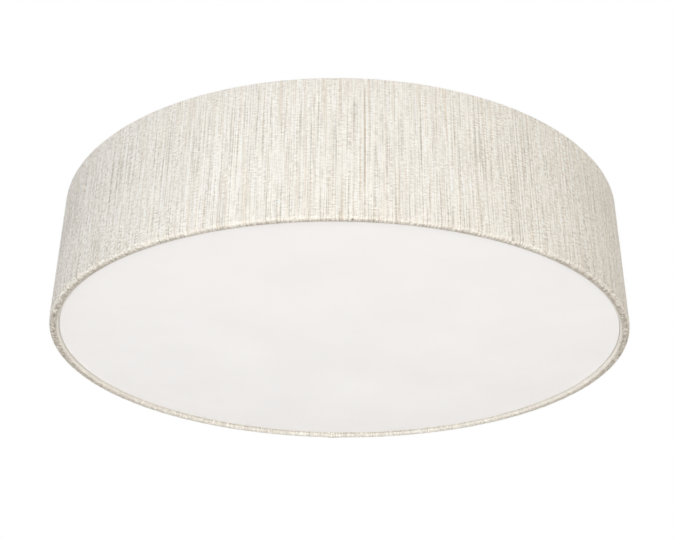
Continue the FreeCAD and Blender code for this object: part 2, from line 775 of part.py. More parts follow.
def lampholder_bracket(number, azimuth):
    """The bent bracket: an upright leg behind the lampholder and a foot under the pan above it."""
    body = new_body(f"lampholder_bracket_{number}", azimuth)
    back = "( holder_rear - bracket_wall )"
    low = "( 0 - lamp_drop - holder_neck / 2 - bracket_below / 2 )"
    section = [
        (back, PAN_FLOOR),
        (back, low),
        ("holder_rear", low),
        ("holder_rear", f"{PAN_FLOOR} - bracket_wall"),
        ("holder_rear + bracket_foot", f"{PAN_FLOOR} - bracket_wall"),
        ("holder_rear + bracket_foot", PAN_FLOOR),
    ]
    corners = {0: "bracket_bend", 3: "bracket_bend - bracket_wall"}
    half = "bracket_width / 2"
    extrude(body, "XZ_Plane", f"0 - {half}", "bracket_width", lambda s: outline(s, section, corners))
    foot_end = worked_out("holder_rear + bracket_foot")
    fillet(body, lambda e: upright_edge(e) and abs(e.BoundBox.XMin - foot_end) < NEAR, "bracket_bend * 1.5")
    low_end = worked_out(low)
    fillet(
        body,
        lambda e: abs(e.BoundBox.ZMax - low_end) < NEAR and e.BoundBox.YLength < NEAR,
        "bracket_bend * 1.5",
    )
    screws = [("foot_screw_reach", "foot_screw_side"), ("foot_screw_reach", "0 - foot_screw_side")]
    hole = "screw_diameter + screw_gap"
    foot_low = f"{PAN_FLOOR} - bracket_wall"
    layer(body, foot_low, "bracket_wall", lambda s: circles(s, screws, hole), cut=True)
    rivets = [(y, "0 - lamp_drop") for y, z in rivet_places()]
    rivet_hole = "rivet_diameter + screw_gap"
    extrude(body, "YZ_Plane", back, "bracket_wall", lambda s: circles(s, rivets, rivet_hole), cut=True)
    lead_hole = "lead_diameter + 2 * lead_gap + bushing_wall"
    middle = [("0", "0 - lamp_drop")]
    extrude(body, "YZ_Plane", back, "bracket_wall", lambda s: circles(s, middle, lead_hole), cut=True)


def lampholder_rivets():
    """The eight identical rivets that hold the lampholders to their brackets."""
    body = new_body("lampholder_rivets")
    back = "( holder_rear - bracket_wall )"
    places = [(y, "0 - lamp_drop") for y, z in rivet_places()]
    head = extrude(
        body,
        "YZ_Plane",
        f"{back} - rivet_head_height",
        "rivet_head_height",
        lambda s: circles(s, places, "rivet_head"),
    )
    shank = extrude(
        body,
        "YZ_Plane",
        back,
        "bracket_wall + rivet_into_holder",
        lambda s: circles(s, places, "rivet_diameter"),
    )
    polar = pattern(body, head, len(LAMP_AZIMUTHS))
    polar.Originals = [head, shank]
    doc.recompute()


# ---- the lamps ----------------------------------------------------------------------------------


def lamp_cap(number, azimuth):
    """The lamp's metal cap: a cup with a stepped tip."""
    body = along_lamp(f"lamp_cap_{number}", azimuth)
    radius = "lamp_cap_diameter / 2"
    inner = f"( {radius} - lamp_cap_wall )"
    floor = f"( {LAMP_CAP_START} + lamp_cap_wall )"
    revolve(
        body,
        [
            (LAMP_START, "0"),
            (LAMP_START, "lamp_cap_diameter / 6"),
            (LAMP_CAP_START, "lamp_cap_diameter / 4"),
            (f"{LAMP_CAP_START} + lamp_tip", radius),
            (LAMP_CAP_END, radius),
            (LAMP_CAP_END, inner),
            (f"{floor} + lamp_tip", inner),
            (f"{floor} + lamp_tip", "0"),
        ],
        {1: "lamp_tip / 2", 3: "lamp_tip / 2"},
        "H_Axis",
    )


def lamp_body(number, azimuth):
    """The lamp's tapered body: a plug inside the cap, a collar over it and a taper to the globe."""
    body = along_lamp(f"lamp_body_{number}", azimuth)
    plug = "( lamp_cap_diameter / 2 - lamp_cap_wall - 0.1 )"
    plug_start = f"( {LAMP_CAP_START} + lamp_cap_length / 3 )"
    taper = f"( {GLOBE_RIM} - {LAMP_CAP_END} )"
    revolve(
        body,
        [
            (plug_start, "0"),
            (plug_start, plug),
            (LAMP_CAP_END, plug),
            (LAMP_CAP_END, "lamp_cap_diameter / 2 + 1"),
            (f"{LAMP_CAP_END} + {taper} * {TAPER_START}", "lamp_cap_diameter / 2 + 2"),
            (f"{LAMP_CAP_END} + {taper} * {TAPER_END}", f"{GLOBE_RIM_RADIUS} * {TAPER_SHARE}"),
            (GLOBE_RIM, GLOBE_RIM_RADIUS),
            (GLOBE_RIM, "0"),
        ],
        {4: "lamp_cap_diameter * 0.9", 5: "lamp_cap_diameter * 0.9"},
        "H_Axis",
    )


def lamp_globe(number, azimuth):
    """The lamp's hollow globe, cut off where the body's rim meets it."""
    label = f"lamp_globe_{number}"
    shells = []
    for role, shrink in (("outside", "0"), ("inside", "globe_wall")):
        ball = doc.addObject("Part::Sphere", f"{label}_{role}")
        ball.setExpression("Radius", tied(f"globe_diameter / 2 - {shrink}"))
        ball.setExpression("Angle1", tied("0deg - globe_skirt * 1deg"))
        shells.append(ball)
    globe = doc.addObject("Part::Cut", label)
    globe.Label = label
    globe.Base, globe.Tool = shells
    about_z = FreeCAD.Rotation(FreeCAD.Vector(0, 0, 1), azimuth)
    lay_down = FreeCAD.Rotation(FreeCAD.Vector(0, 1, 0), 90)
    globe.Placement = FreeCAD.Placement(FreeCAD.Vector(0, 0, 0), about_z * lay_down)
    for axis, text in zip("xy", turned(GLOBE_CENTRE, azimuth)):
        globe.setExpression(f"Placement.Base.{axis}", tied(text))
    globe.setExpression("Placement.Base.z", tied("0 - lamp_drop"))
    parts.append(globe)
    doc.recompute()


# ---- the arms and what hangs on them, modelled along X and then turned ---------------------------


def arm(number, azimuth):
    """The pressed arm under the pan: a flat web with two stiffening flanges turned down."""
    body = new_body(f"arm_{number}", azimuth)
    low = "( 0 - pan_depth - arm_wall )"
    web = box_corners("arm_start", "arm_end", "0 - arm_width / 2", "arm_width / 2")
    layer(body, low, "arm_wall", lambda s: outline(s, web))
    fillet(body, upright_edge, "arm_width / 3")
    flange = [
        ("arm_flange_start", low),
        ("arm_flange_start + arm_flange", f"{low} - arm_flange"),
        ("arm_flange_end - arm_flange", f"{low} - arm_flange"),
        ("arm_flange_end", low),
    ]
    for side in ("0 - arm_width / 2", "arm_width / 2 - arm_wall"):
        extrude(body, "XZ_Plane", side, "arm_wall", lambda s: outline(s, flange))
    hole = "screw_diameter + screw_gap"
    screws = [("arm_screw_inner", "0"), ("arm_screw_outer", "0")]
    layer(body, low, "arm_wall", lambda s: circles(s, screws, hole), cut=True)
    stud = "hanger_diameter + screw_gap"
    layer(body, low, "arm_wall", lambda s: circles(s, [("hanger_reach", "0")], stud), cut=True)


def hanger_studs():
    """The four clinched studs at the arms' ends that carry the shade."""
    body = new_body("hanger_studs")
    places = around([("hanger_reach", "0")], ARM_AZIMUTHS)
    low = "( 0 - pan_depth - hanger_length )"
    layer(body, low, "hanger_length", lambda s: circles(s, places, "hanger_diameter"))
    chamfer(body, level_edge(low), "hanger_diameter / 8")
    layer(body, PAN_FLOOR, "hanger_head_height", lambda s: circles(s, places, "hanger_head"))
    fillet(body, level_edge(f"{PAN_FLOOR} + hanger_head_height"), "hanger_head_height / 2")


def knurled_nut(number, azimuth):
    """A knurled nut below a lug: a plain collar, then a ribbed head with a bevelled rim."""
    body = new_body(f"knurled_nut_{number}", azimuth)
    place = [("hanger_reach", "0")]
    collar_low = f"( {NUT_TOP} - nut_collar_height )"
    low = f"( {NUT_TOP} - nut_height )"
    head = "nut_height - nut_collar_height"
    layer(body, low, head, lambda s: circles(s, place, "nut_diameter"))
    chamfer(body, level_edge(low), "nut_diameter / 20")
    layer(body, collar_low, "nut_collar_height", lambda s: circles(s, place, "nut_collar"))
    flutes = [
        (
            f"hanger_reach + nut_diameter / 2 * cos ( {360 * i / KNURLS}deg )",
            f"nut_diameter / 2 * sin ( {360 * i / KNURLS}deg )",
        )
        for i in range(KNURLS)
    ]
    layer(body, low, head, lambda s: circles(s, flutes, "nut_diameter / 16"), cut=True)
    bore = "hanger_diameter + 2 * nut_bore_gap"
    layer(body, low, "nut_height", lambda s: circles(s, place, bore), cut=True)


# ---- the shade -----------------------------------------------------------------------------------


def hem_points(radius, turns):
    """Points on a half circle below the wire's centre, at each turn in degrees from its outer side."""
    return [
        (
            f"{BOTTOM_WIRE_REACH} + {radius} * cos ( {turn}deg )",
            f"{BOTTOM_WIRE_LEVEL} - {radius} * sin ( {turn}deg )",
        )
        for turn in turns
    ]


def shade_fabric():
    """The fabric skin: folded over the strip at the top and rolled, doubled, round the wire."""
    body = new_body("shade_fabric")
    top = "( 0 - ceiling_gap )"
    return_outside = f"( {STRIP_INSIDE} - glue_gap )"
    hem_inside = f"( {BOTTOM_WIRE_REACH} - {BOTTOM_HEM} )"
    hem_high = f"( {BOTTOM_WIRE_LEVEL} + bottom_wire / 2 )"
    revolve(
        body,
        [
            (SHADE_RADIUS, top),
            *hem_points(BOTTOM_HEM, HEM_TURNS),
            (hem_inside, hem_high),
            (f"{hem_inside} + hem_wall", hem_high),
            *hem_points(f"( {BOTTOM_HEM} - hem_wall )", reversed(HEM_TURNS)),
            (FABRIC_INSIDE, f"{BOTTOM_WIRE_LEVEL} + hem_wall"),
            (FABRIC_INSIDE, f"{top} - fabric_wall"),
            (return_outside, f"{top} - fabric_wall"),
            (return_outside, RETURN_LOW),
            (f"{return_outside} - fabric_wall", RETURN_LOW),
            (f"{return_outside} - fabric_wall", top),
        ],
    )


def shade_liner():
    """The stiff liner inside the fabric, from the strip down to the wire."""
    body = new_body("shade_liner")
    low = f"( {BOTTOM_WIRE_LEVEL} + {BOTTOM_HEM} )"
    revolve(body, box_corners(LINER_INSIDE, LINER_OUTSIDE, low, f"{STRIP_LOW} - glue_gap"))


def shade_top_ring():
    """The flat strip, rolled into a ring, that stiffens the shade's upper edge."""
    body = new_body("shade_top_ring")
    revolve(body, box_corners(STRIP_INSIDE, STRIP_OUTSIDE, STRIP_LOW, STRIP_TOP))


def shade_bottom_ring():
    """The ring of round wire that the fabric is rolled over at the bottom."""
    body = new_body("shade_bottom_ring")
    revolve_circles(body, [(BOTTOM_WIRE_REACH, BOTTOM_WIRE_LEVEL)], "bottom_wire")


def diffuser_seat_ring():
    """The angle ring inside the shade: an upright bonded to the liner and a flange for the magnets."""
    body = new_body("diffuser_seat_ring")
    inner = f"( {SEAT_OUTSIDE} - seat_width )"
    revolve(
        body,
        [
            (inner, SEAT_FACE),
            (SEAT_OUTSIDE, SEAT_FACE),
            (SEAT_OUTSIDE, f"{SEAT_FACE} + seat_upright"),
            (f"{SEAT_OUTSIDE} - seat_wall", f"{SEAT_FACE} + seat_upright"),
            (f"{SEAT_OUTSIDE} - seat_wall", f"{SEAT_FACE} + seat_wall"),
            (inner, f"{SEAT_FACE} + seat_wall"),
        ],
        {1: "seat_wall * 2", 4: "seat_wall"},
    )


def shade_lug(number, azimuth):
    """A lug welded to the strip's inside: an upright leg and a foot with the stud's hole."""
    body = new_body(f"shade_lug_{number}", azimuth)
    outer = f"( {STRIP_INSIDE} - weld_gap )"
    inner = f"( {outer} - lug_wall )"
    top = f"( {RETURN_LOW} - lug_gap )"
    section = [
        ("lug_reach", LUG_UNDER),
        (outer, LUG_UNDER),
        (outer, top),
        (inner, top),
        (inner, LUG_TOP),
        ("lug_reach", LUG_TOP),
    ]
    corners = {1: "lug_bend", 4: "lug_bend - lug_wall"}
    extrude(body, "XZ_Plane", "0 - lug_width / 2", "lug_width", lambda s: outline(s, section, corners))
    reach = size("lug_reach")
    fillet(body, lambda e: upright_edge(e) and abs(e.BoundBox.XMin - reach) < NEAR, "lug_width / 4")
    hole = "hanger_diameter + 2 * lug_hole_gap"
    layer(body, LUG_UNDER, "lug_wall", lambda s: circles(s, [("hanger_reach", "0")], hole), cut=True)


def diffuser_disc():
    """The flat opal disc with bevelled edges."""
    body = new_body("diffuser_disc")
    layer(body, DISC_FACE, "disc_thickness", lambda s: circles(s, [("0", "0")], f"2 * {DISC_RADIUS}"))
    faces = [level_edge(DISC_FACE), level_edge(DISC_BACK)]
    chamfer(body, lambda e: any(face(e) for face in faces), "disc_chamfer")


def diffuser_magnets():
    """The six identical magnets bonded to the disc's back near its rim."""
    body = new_body("diffuser_magnets")
    reach = f"( {DISC_RADIUS} - magnet_inset + magnet_diameter / 2 )"
    place = [(f"{reach}", "0")]
    magnet = layer(body, DISC_BACK, "magnet_height", lambda s: circles(s, place, "magnet_diameter"))
    pattern(body, magnet, MAGNETS)


def build():
    """Builds every piece."""
    mounting_strap()
    ceiling_pan()
    pan_studs()
    cap_nuts()
    earth_screw()
    floor_screws()
    terminal_block()
    lead_bushings()
    earth_lead()
    centre_contacts()
    lampholder_rivets()
    for number, azimuth in enumerate(LAMP_AZIMUTHS, 1):
        lead_sleeve(number, azimuth)
        lampholder_bracket(number, azimuth)
        lampholder_body(number, azimuth)
        screw_shell(number, azimuth)
        lamp_cap(number, azimuth)
        lamp_body(number, azimuth)
        lamp_globe(number, azimuth)
    hanger_studs()
    for number, azimuth in enumerate(ARM_AZIMUTHS, 1):
        arm(number, azimuth)
        shade_lug(number, azimuth)
        knurled_nut(number, azimuth)
    shade_fabric()
    shade_liner()
    shade_top_ring()
    shade_bottom_ring()
    diffuser_seat_ring()
    diffuser_disc()
    diffuser_magnets()


def check():
    """Stops before anything is written if an object failed or a piece has no valid shape."""
    doc.recompute()
    for item in doc.Objects:
        if "Invalid" in item.State or "Error" in item.State:
            raise RuntimeError(f"{item.Label}: {item.State}")
    for part in parts:
        if part.Shape.isNull() or not part.Shape.isValid() or part.Shape.Volume <= 0:
            raise RuntimeError(f"{part.Label}: no valid solid")


def write():
    """Writes each piece to its own STEP file."""
    os.makedirs("parts", exist_ok=True)
    for part in parts:
        part.Shape.exportStep(f"parts/{part.Label}.step")
        print(f"{part.Label}: {len(part.Shape.Solids)} solids, {part.Shape.Volume:.1f} mm3")


build()
check()
write()
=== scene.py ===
"""Flush mount ceiling light: a fabric drum over four lamps, closed below by an opal disc.

Laid out as an add-on with one operator for each group of pieces, and run as a script.
"""

import math

import bpy
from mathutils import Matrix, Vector


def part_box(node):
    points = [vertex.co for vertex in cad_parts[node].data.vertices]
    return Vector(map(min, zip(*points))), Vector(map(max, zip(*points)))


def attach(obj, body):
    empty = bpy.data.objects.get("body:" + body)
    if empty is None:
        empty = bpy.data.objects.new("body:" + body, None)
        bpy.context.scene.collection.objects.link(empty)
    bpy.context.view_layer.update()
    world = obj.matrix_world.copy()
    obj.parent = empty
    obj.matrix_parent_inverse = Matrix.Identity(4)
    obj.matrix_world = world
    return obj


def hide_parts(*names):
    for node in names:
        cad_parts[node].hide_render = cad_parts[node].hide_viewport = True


bl_info = {
    "name": "Drum Ceiling Light",
    "version": (1, 0, 0),
    "blender": (4, 5, 0),
    "location": "3D View > Sidebar > Drum Light",
    "description": "Finishes a flush mount drum ceiling light over its packed frame",
    "category": "Object",
}

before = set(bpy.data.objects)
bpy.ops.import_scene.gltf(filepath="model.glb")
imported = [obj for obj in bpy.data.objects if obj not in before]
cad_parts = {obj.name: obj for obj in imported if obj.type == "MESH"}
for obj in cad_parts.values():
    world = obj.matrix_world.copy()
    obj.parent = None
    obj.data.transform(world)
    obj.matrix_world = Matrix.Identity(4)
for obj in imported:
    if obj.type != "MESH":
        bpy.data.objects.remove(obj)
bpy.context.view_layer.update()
SHADE_LOW, SHADE_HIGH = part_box("shade_fabric")

MM = 0.001
DEG = math.pi / 180
LAMP_AZIMUTHS = (0, 90, 180, 270)
ARM_AZIMUTHS = (45, 135, 225, 315)


# ---- node helpers ------------------------------------------------------------------------------


class Socket:
    """One output of a node, with sums and products written as Python expressions."""

    def __init__(self, tree, link):
        self.tree = tree
        self.link = link

    def maths(self, operation, *others, **settings):
        """A maths node on this output and the others."""
        values = [self, *others]
        return self.tree.add(self.tree.maths_node, values, operation=operation, **settings)

    def __add__(self, other):
        return self.maths("ADD", other)

    def __sub__(self, other):
        return self.maths("SUBTRACT", other)

    def __mul__(self, other):
        return self.maths("MULTIPLY", other)

    def __truediv__(self, other):
        return self.maths("DIVIDE", other)

    def __radd__(self, other):
        return self.maths("ADD", other)

    def __rmul__(self, other):
        return self.maths("MULTIPLY", other)

    def __rsub__(self, other):
        return self.tree.add(self.tree.maths_node, [other, self], operation="SUBTRACT")

    def __pow__(self, other):
        return self.maths("POWER", other)

    def clamped(self):
        """Held between 0 and 1."""
        return self.maths("ADD", 0.0, use_clamp=True)

    def between(self, low, high):
        """0 at low and 1 at high, clamped."""
        return ((self - low) / (high - low)).clamped()

    def centred(self):
        """A noise of 0 to 1 moved to lie about 0."""
        return self - 0.5

    def split(self):
        """The three numbers of a vector."""
        node = self.tree.node("ShaderNodeSeparateXYZ", [self])
        return [Socket(self.tree, output) for output in node.outputs]


class Tree:
    """A node tree under construction."""

    maths_node = "ShaderNodeMath"

    def __init__(self, tree):
        self.tree = tree

    def node(self, kind, values=(), **settings):
        """A node with its settings made first and then its sockets linked or set, by place or name."""
        node = self.tree.nodes.new(kind)
        for name, value in settings.items():
            setattr(node, name, value)
        pairs = values.items() if isinstance(values, dict) else enumerate(values)
        for key, value in pairs:
            self.feed(node.inputs[key], value)
        return node

    def feed(self, socket, value):
        """Links a socket, or sets its own value."""
        if isinstance(value, Socket):
            self.tree.links.new(value.link, socket)
        elif value is not None:
            socket.default_value = value

    def add(self, kind, values=(), output=0, **settings):
        """A node's output as a Socket."""
        return Socket(self, self.node(kind, values, **settings).outputs[output])

    def xyz(self, x, y, z=0.0):
        """A vector of three numbers."""
        return self.add("ShaderNodeCombineXYZ", [x, y, z])


# the factor, the two colours and the result among the sockets of a Mix node
MIX_SOCKETS = (0, 6, 7)
MIX_RESULT = 2


class Shader(Tree):
    """A material's tree, ending in one Principled shader."""

    def __init__(self, name, **constants):
        self.material = bpy.data.materials.new(name)
        self.material.use_nodes = True
        super().__init__(self.material.node_tree)
        self.shader = self.tree.nodes["Principled BSDF"]
        for socket, value in constants.items():
            self.shader.inputs[socket.replace("_", " ")].default_value = value

    def place(self):
        """Object coordinates in millimetres."""
        at = self.add("ShaderNodeTexCoord", output="Object")
        return self.in_mm(at)

    def in_mm(self, at):
        """A vector of metres in millimetres."""
        return self.add("ShaderNodeVectorMath", {0: at, "Scale": 1 / MM}, operation="SCALE")

    def noise(self, at, size_mm, detail=2.0, roughness=0.5, stretch=(1, 1, 1)):
        """Noise from 0 to 1, its features about size_mm across."""
        scale = tuple(1 / (size_mm * s) for s in stretch)
        scaled = self.add("ShaderNodeVectorMath", [at, scale], operation="MULTIPLY")
        values = {"Vector": scaled, "Scale": 1.0, "Detail": detail, "Roughness": roughness}
        return self.add("ShaderNodeTexNoise", values, output="Fac")

    def mix(self, factor, first, second, blend="MIX"):
        """Two colours mixed by a factor, each a Socket or a colour for rgba."""
        colours = [value if isinstance(value, Socket) else rgba(value) for value in (first, second)]
        values = dict(zip(MIX_SOCKETS, (factor, *colours)))
        return self.add("ShaderNodeMix", values, output=MIX_RESULT, data_type="RGBA", blend_type=blend)

    def bump(self, height, depth_mm, strength=1.0):
        """A normal from a height of 0 to 1."""
        values = {"Strength": strength, "Distance": depth_mm * MM, "Height": height}
        self.feed(self.shader.inputs["Normal"], self.add("ShaderNodeBump", values))

    def finish(self, **varying):
        """Feeds the shader's sockets that change over the surface."""
        for socket, value in varying.items():
            self.feed(self.shader.inputs[socket.replace("_", " ")], value)
        return self.material


def rgba(colour):
    """A colour given as sRGB 0 to 255, as the linear colour that a socket takes."""
    if len(colour) == 4:
        return colour
    linear = [c / 255 / 12.92 if c <= 10 else ((c / 255 + 0.055) / 1.055) ** 2.4 for c in colour]
    return (*linear, 1.0)


# ---- finishes ----------------------------------------------------------------------------------

TAUPE_YARN = (190, 181, 168)
WARM_YARN = (222, 207, 184)
WHITE_YARN = (254, 253, 250)
THICK_YARN = (190, 168, 146)
GATHER_TONE_AND_SHADE = (134, 119, 96)
PAINTED_TUCK_LIGHT = (253, 248, 239)
CREASE_SHADE_TONE = (132, 120, 104)
FLECK_TONE = (74, 66, 58)

# how far below the wall's lower end the hem's painted edge shade, its gathered roll and the painted light
# where it tucks in fade in, in millimetres, and how much further up the first two lie from the sides to the
# back
HEM_EDGE_SHADE = (-3.0, 2.0)
HEM_ROLL = (3.4, 6.0)
HEM_TUCK_LIGHT = (9.2, 11.6)
HEM_RAISED = 3.5
# how far down the thick yarn fades in and out again
YARN_IN = (4.0, 18.0)
YARN_OUT = (104.0, 118.0)
# how far apart in the noise two sets of streaks are taken
STREAKS_APART = (137.0, 71.0, 0.0)


class ClothShader(Shader):
    """The shade's cloth: slubbed upright yarns of mixed tone over a fine weft.

    In millimetres, across goes once round the shade from the lap, and along goes down from the
    top edge and on round the hem.
    """

    def __init__(self, settings):
        super().__init__("slub_cloth", Roughness=0.9, Sheen_Weight=0.1, Sheen_Roughness=0.6)
        self.ground = tuple(settings.cloth_colour) + (1.0,)
        self.streak = settings.streak_length / MM
        self.at = self.in_mm(self.add("ShaderNodeUVMap", uv_map="cloth"))
        self.across, self.along, _ = self.at.split()
        self.place_masks()
        self.make_threads()

    def place_masks(self):
        """The sides, where the threads' relief gets painted shade as light grazes it, the back and the thick
        yarn, each 1 inside and 0 outside.

        Side goes from 0 at the front of the drum to 2 at its back.
        """
        half = CLOTH_RADIUS * math.pi
        self.side = (self.across - half).maths("ABSOLUTE") / (half / 2)
        # the sides, where the threads get painted shade of their relief, fading again towards the back
        self.grazed_sides = self.side.between(0.2, 0.75) * (1 - self.side.between(1.0, 1.5) * 0.6)
        self.far = self.side.between(1.2, 1.8)
        thick = 1 - (self.across - YARN_PLACE).maths("ABSOLUTE").between(0.3, 1.0)
        self.thick = thick * self.along.between(*YARN_IN) * (1 - self.along.between(*YARN_OUT))

    def make_threads(self):
        """The upright and crossing threads that both the tone and the relief are made of."""
        self.warp = self.noise(self.at, 1.1, detail=1.0, roughness=0.6, stretch=(1, 2 * self.streak, 1))
        self.ply = self.noise(self.at, 2.4, detail=1.0, stretch=(1, self.streak / 3, 1))
        self.slub = self.noise(self.at, 1.5, detail=1.0, stretch=(1, self.streak / 6, 1))
        self.weft = self.noise(self.at, 1.4, detail=1.0, stretch=(3.2, 1, 1))
        self.grain = self.noise(self.at, 1.1, detail=2.0, roughness=0.8)

    def streaks(self, width_mm, length_mm, seed, low, high):
        """Long narrow marks along the yarns, 1 inside a mark and 0 outside."""
        apart = tuple(seed * step for step in STREAKS_APART)
        shifted = self.add("ShaderNodeVectorMath", [self.at, apart])
        marks = self.noise(shifted, width_mm, detail=1.0, stretch=(1, length_mm / width_mm, 1))
        return marks.between(low, high)

    def streaked(self):
        """The ground tone with yarns of other tones, the darkest broken up by the weft."""
        taupe = self.streaks(1.2, self.streak * 1.2, 1, 0.57, 0.64)
        warm = self.streaks(1.7, self.streak * 1.5, 2, 0.58, 0.66)
        white = self.streaks(1.1, self.streak, 3, 0.57, 0.64)
        stitch = self.grain.between(0.42, 0.56) * self.weft.between(0.36, 0.58)
        tone = self.mix(taupe * (1 - stitch * 0.6) * 0.6, self.ground, TAUPE_YARN)
        tone = self.mix(warm * 0.4, tone, WARM_YARN)
        return self.mix(white * 0.4, tone, WHITE_YARN)

    def unevenness(self):
        """How much lighter or darker each thread is than its tone, as a share about 0, with painted shade of
        the relief added on the sides.
        """
        ladder = self.noise(self.at, 6.0, detail=2.0, stretch=(1, 6, 1)).between(0.42, 0.62)
        nub = self.noise(self.at, 2.8, detail=1.0, stretch=(2.4, 1, 1)).between(0.3, 0.7)
        drift = self.noise(self.at, 70.0, detail=1.0)
        upright = self.warp.centred() * 0.5 + self.ply.centred() * 0.12 + self.slub.centred() * 0.34
        crossed = self.weft.centred() * (0.3 + ladder * 0.5) + self.grain.centred() * 0.6
        crossed = crossed + drift.centred() * 0.04
        # the threads and their nubs get stronger painted shade on the drum's sides, as if light grazed their
        # relief
        uneven = upright * (1 + self.grazed_sides * 0.5) + crossed * (1 + self.grazed_sides * 1.1)
        return uneven + nub.centred() * self.grazed_sides * 0.3

    def shaded(self, tone):
        """The tone darkened by the threads, by the hem's gathered roll with painted shade between its
        gathers and by painted shade along its edge, and given painted light where it tucks in.
        """
        turning = self.along + self.side.between(0.7, 1.0) * HEM_RAISED - HEM_TOP
        rolled = turning.between(*HEM_ROLL)
        tuck_light = self.along.between(HEM_TOP + HEM_TUCK_LIGHT[0], HEM_TOP + HEM_TUCK_LIGHT[1])
        # the roll's dark gathered ribs: the cloth's own gathers, with painted shade between them, weaker at
        # the back
        gather = self.noise(self.at, 1.2, detail=1.0, roughness=0.7, stretch=(1, 6, 1)).between(0.43, 0.56)
        depth = 0.5 + self.grazed_sides * 0.15 - self.far * 0.25
        tone = self.mix(gather * rolled * depth, tone, GATHER_TONE_AND_SHADE)
        # painted shade along the hem's edge and on its roll, holding down the light that the roll catches,
        # none at the back
        edge = (turning.between(*HEM_EDGE_SHADE) * 0.06 + rolled * 0.16) * (1 - self.far)
        dark = self.unevenness() * (-1.0 - rolled * 0.2) + edge
        level = self.xyz(1 - dark * 0.9, 1 - dark, 1 - dark * 1.12)
        tone = self.mix(1.0, tone, level, blend="MULTIPLY")
        # painted light where the hem tucks in by the disc, lifting the shade there, more on the sides and
        # less at the back
        return self.mix(tuck_light * (0.6 + (self.grazed_sides - self.far * 2) * 0.25), tone, PAINTED_TUCK_LIGHT)

    def marked(self, tone):
        """The hem's creases at the back painted as dotted shade lines, one dark fleck on the hem and one
        thick yarn.
        """
        dots = self.noise(self.at, 1.3, detail=1.0, stretch=(1.6, 1, 1)).between(0.40, 0.58)
        for place, strength in HEM_CREASE_SHADES:
            # a dotted line of painted shade along each crease, only at the back
            crease_shade = 1 - (self.along - place).maths("ABSOLUTE").between(0.2, 0.9)
            tone = self.mix(crease_shade * dots * self.far * strength, tone, CREASE_SHADE_TONE)
        away = (self.across - FLECK[0]).maths("ABSOLUTE") + (self.along - FLECK[1]).maths("ABSOLUTE")
        tone = self.mix((1 - away.between(0.7, 1.4)) * 0.8, tone, FLECK_TONE)
        return self.mix(self.thick * (0.2 + self.slub * 0.8), tone, THICK_YARN)

    def woven(self):
        """The finished material."""
        height = self.warp * 1.2 + self.ply * 0.5 + self.slub * 0.8 + self.weft * 0.6 + self.grain
        self.bump(height + self.thick * 0.4, 0.8, 1.0)
        tone = self.marked(self.shaded(self.streaked()))
        return self.finish(Base_Color=tone, Roughness=0.84 + self.grain * 0.12)


# each lamp's faint glow painted on the disc: how far from the axis its middle is, and how wide it is
PAINTED_GLOW_REACH = 115.0
PAINTED_GLOW_RADIUS = 95.0


def opal_finish(settings):
    """The disc's opal acrylic, with a very faint glow painted on it over each lamp."""
    opal = Shader("opal_acrylic", Roughness=0.42, IOR=1.49, Emission_Strength=1.0)
    at = opal.place()
    flat = opal.add("ShaderNodeVectorMath", [at, (1.0, 1.0, 0.0)], operation="MULTIPLY")
    painted_glows = []
    for azimuth in LAMP_AZIMUTHS:
        centre = round_place(PAINTED_GLOW_REACH, azimuth, 0.0)
        apart = opal.add("ShaderNodeVectorMath", [flat, centre], output=1, operation="DISTANCE")
        near = 1 - (apart / PAINTED_GLOW_RADIUS).clamped()
        painted_glows.append(near * near * (3 - 2 * near))
    haze = opal.noise(at, 90.0, detail=2.0)
    fleck = opal.noise(at, 1.1, detail=1.0).between(0.70, 0.80)
    tone = opal.mix(haze.between(0.3, 0.7), (245, 243, 243), (242, 240, 240))
    tone = opal.mix(fleck * 0.05, tone, (200, 196, 188))
    opal.bump(opal.noise(at, 14.0, detail=2.0), 0.05, 0.25)
    # the painted glow goes into the disc's emission, though the disc is no lamp
    level = sum(painted_glows) * settings.glow
    return opal.finish(
        Base_Color=tone,
        Roughness=0.36 + haze * 0.1,
        Emission_Color=opal.xyz(level, level, level * 0.93),
    )


def coat_finish(name, light, dark, peel_mm=0.9, rough=0.42):
    """A powder coat: orange peel, slight haze and specks of dust."""
    coat = Shader(name, Roughness=rough, IOR=1.5)
    at = coat.place()
    haze = coat.noise(at, 38.0, detail=3.0)
    speck = coat.noise(at, 1.0, detail=0.0).between(0.74, 0.80)
    tone = coat.mix(haze.between(0.3, 0.72), light, dark)
    tone = coat.mix(speck * 0.35, tone, [c * 0.75 for c in dark])
    coat.bump(coat.noise(at, peel_mm, detail=1.0), 0.06, 0.5)
    return coat.finish(Base_Color=tone, Roughness=rough - 0.05 + haze * 0.12)


def metal_finish(name, light, dark, rough, grain=(1, 1, 14), grain_mm=0.5, tarnish_mm=22.0):
    """Plated or bare metal: drawn grain, patches of tarnish and fine wear."""
    metal = Shader(name, Metallic=1.0, Roughness=rough)
    at = metal.place()
    patch = metal.noise(at, tarnish_mm, detail=4.0, roughness=0.6)
    drawn = metal.noise(at, grain_mm, detail=2.0, stretch=grain)
    wear = metal.noise(at, 2.4, detail=3.0, roughness=0.7).between(0.55, 0.8)
    tone = metal.mix(patch.between(0.35, 0.7), light, dark)
    tone = metal.mix(drawn.centred().maths("ABSOLUTE") * 0.5, tone, [c * 0.8 for c in dark])
    metal.bump(drawn, 0.03, 0.4)
    return metal.finish(Base_Color=tone, Roughness=rough + patch.centred() * 0.18 + wear * 0.12)


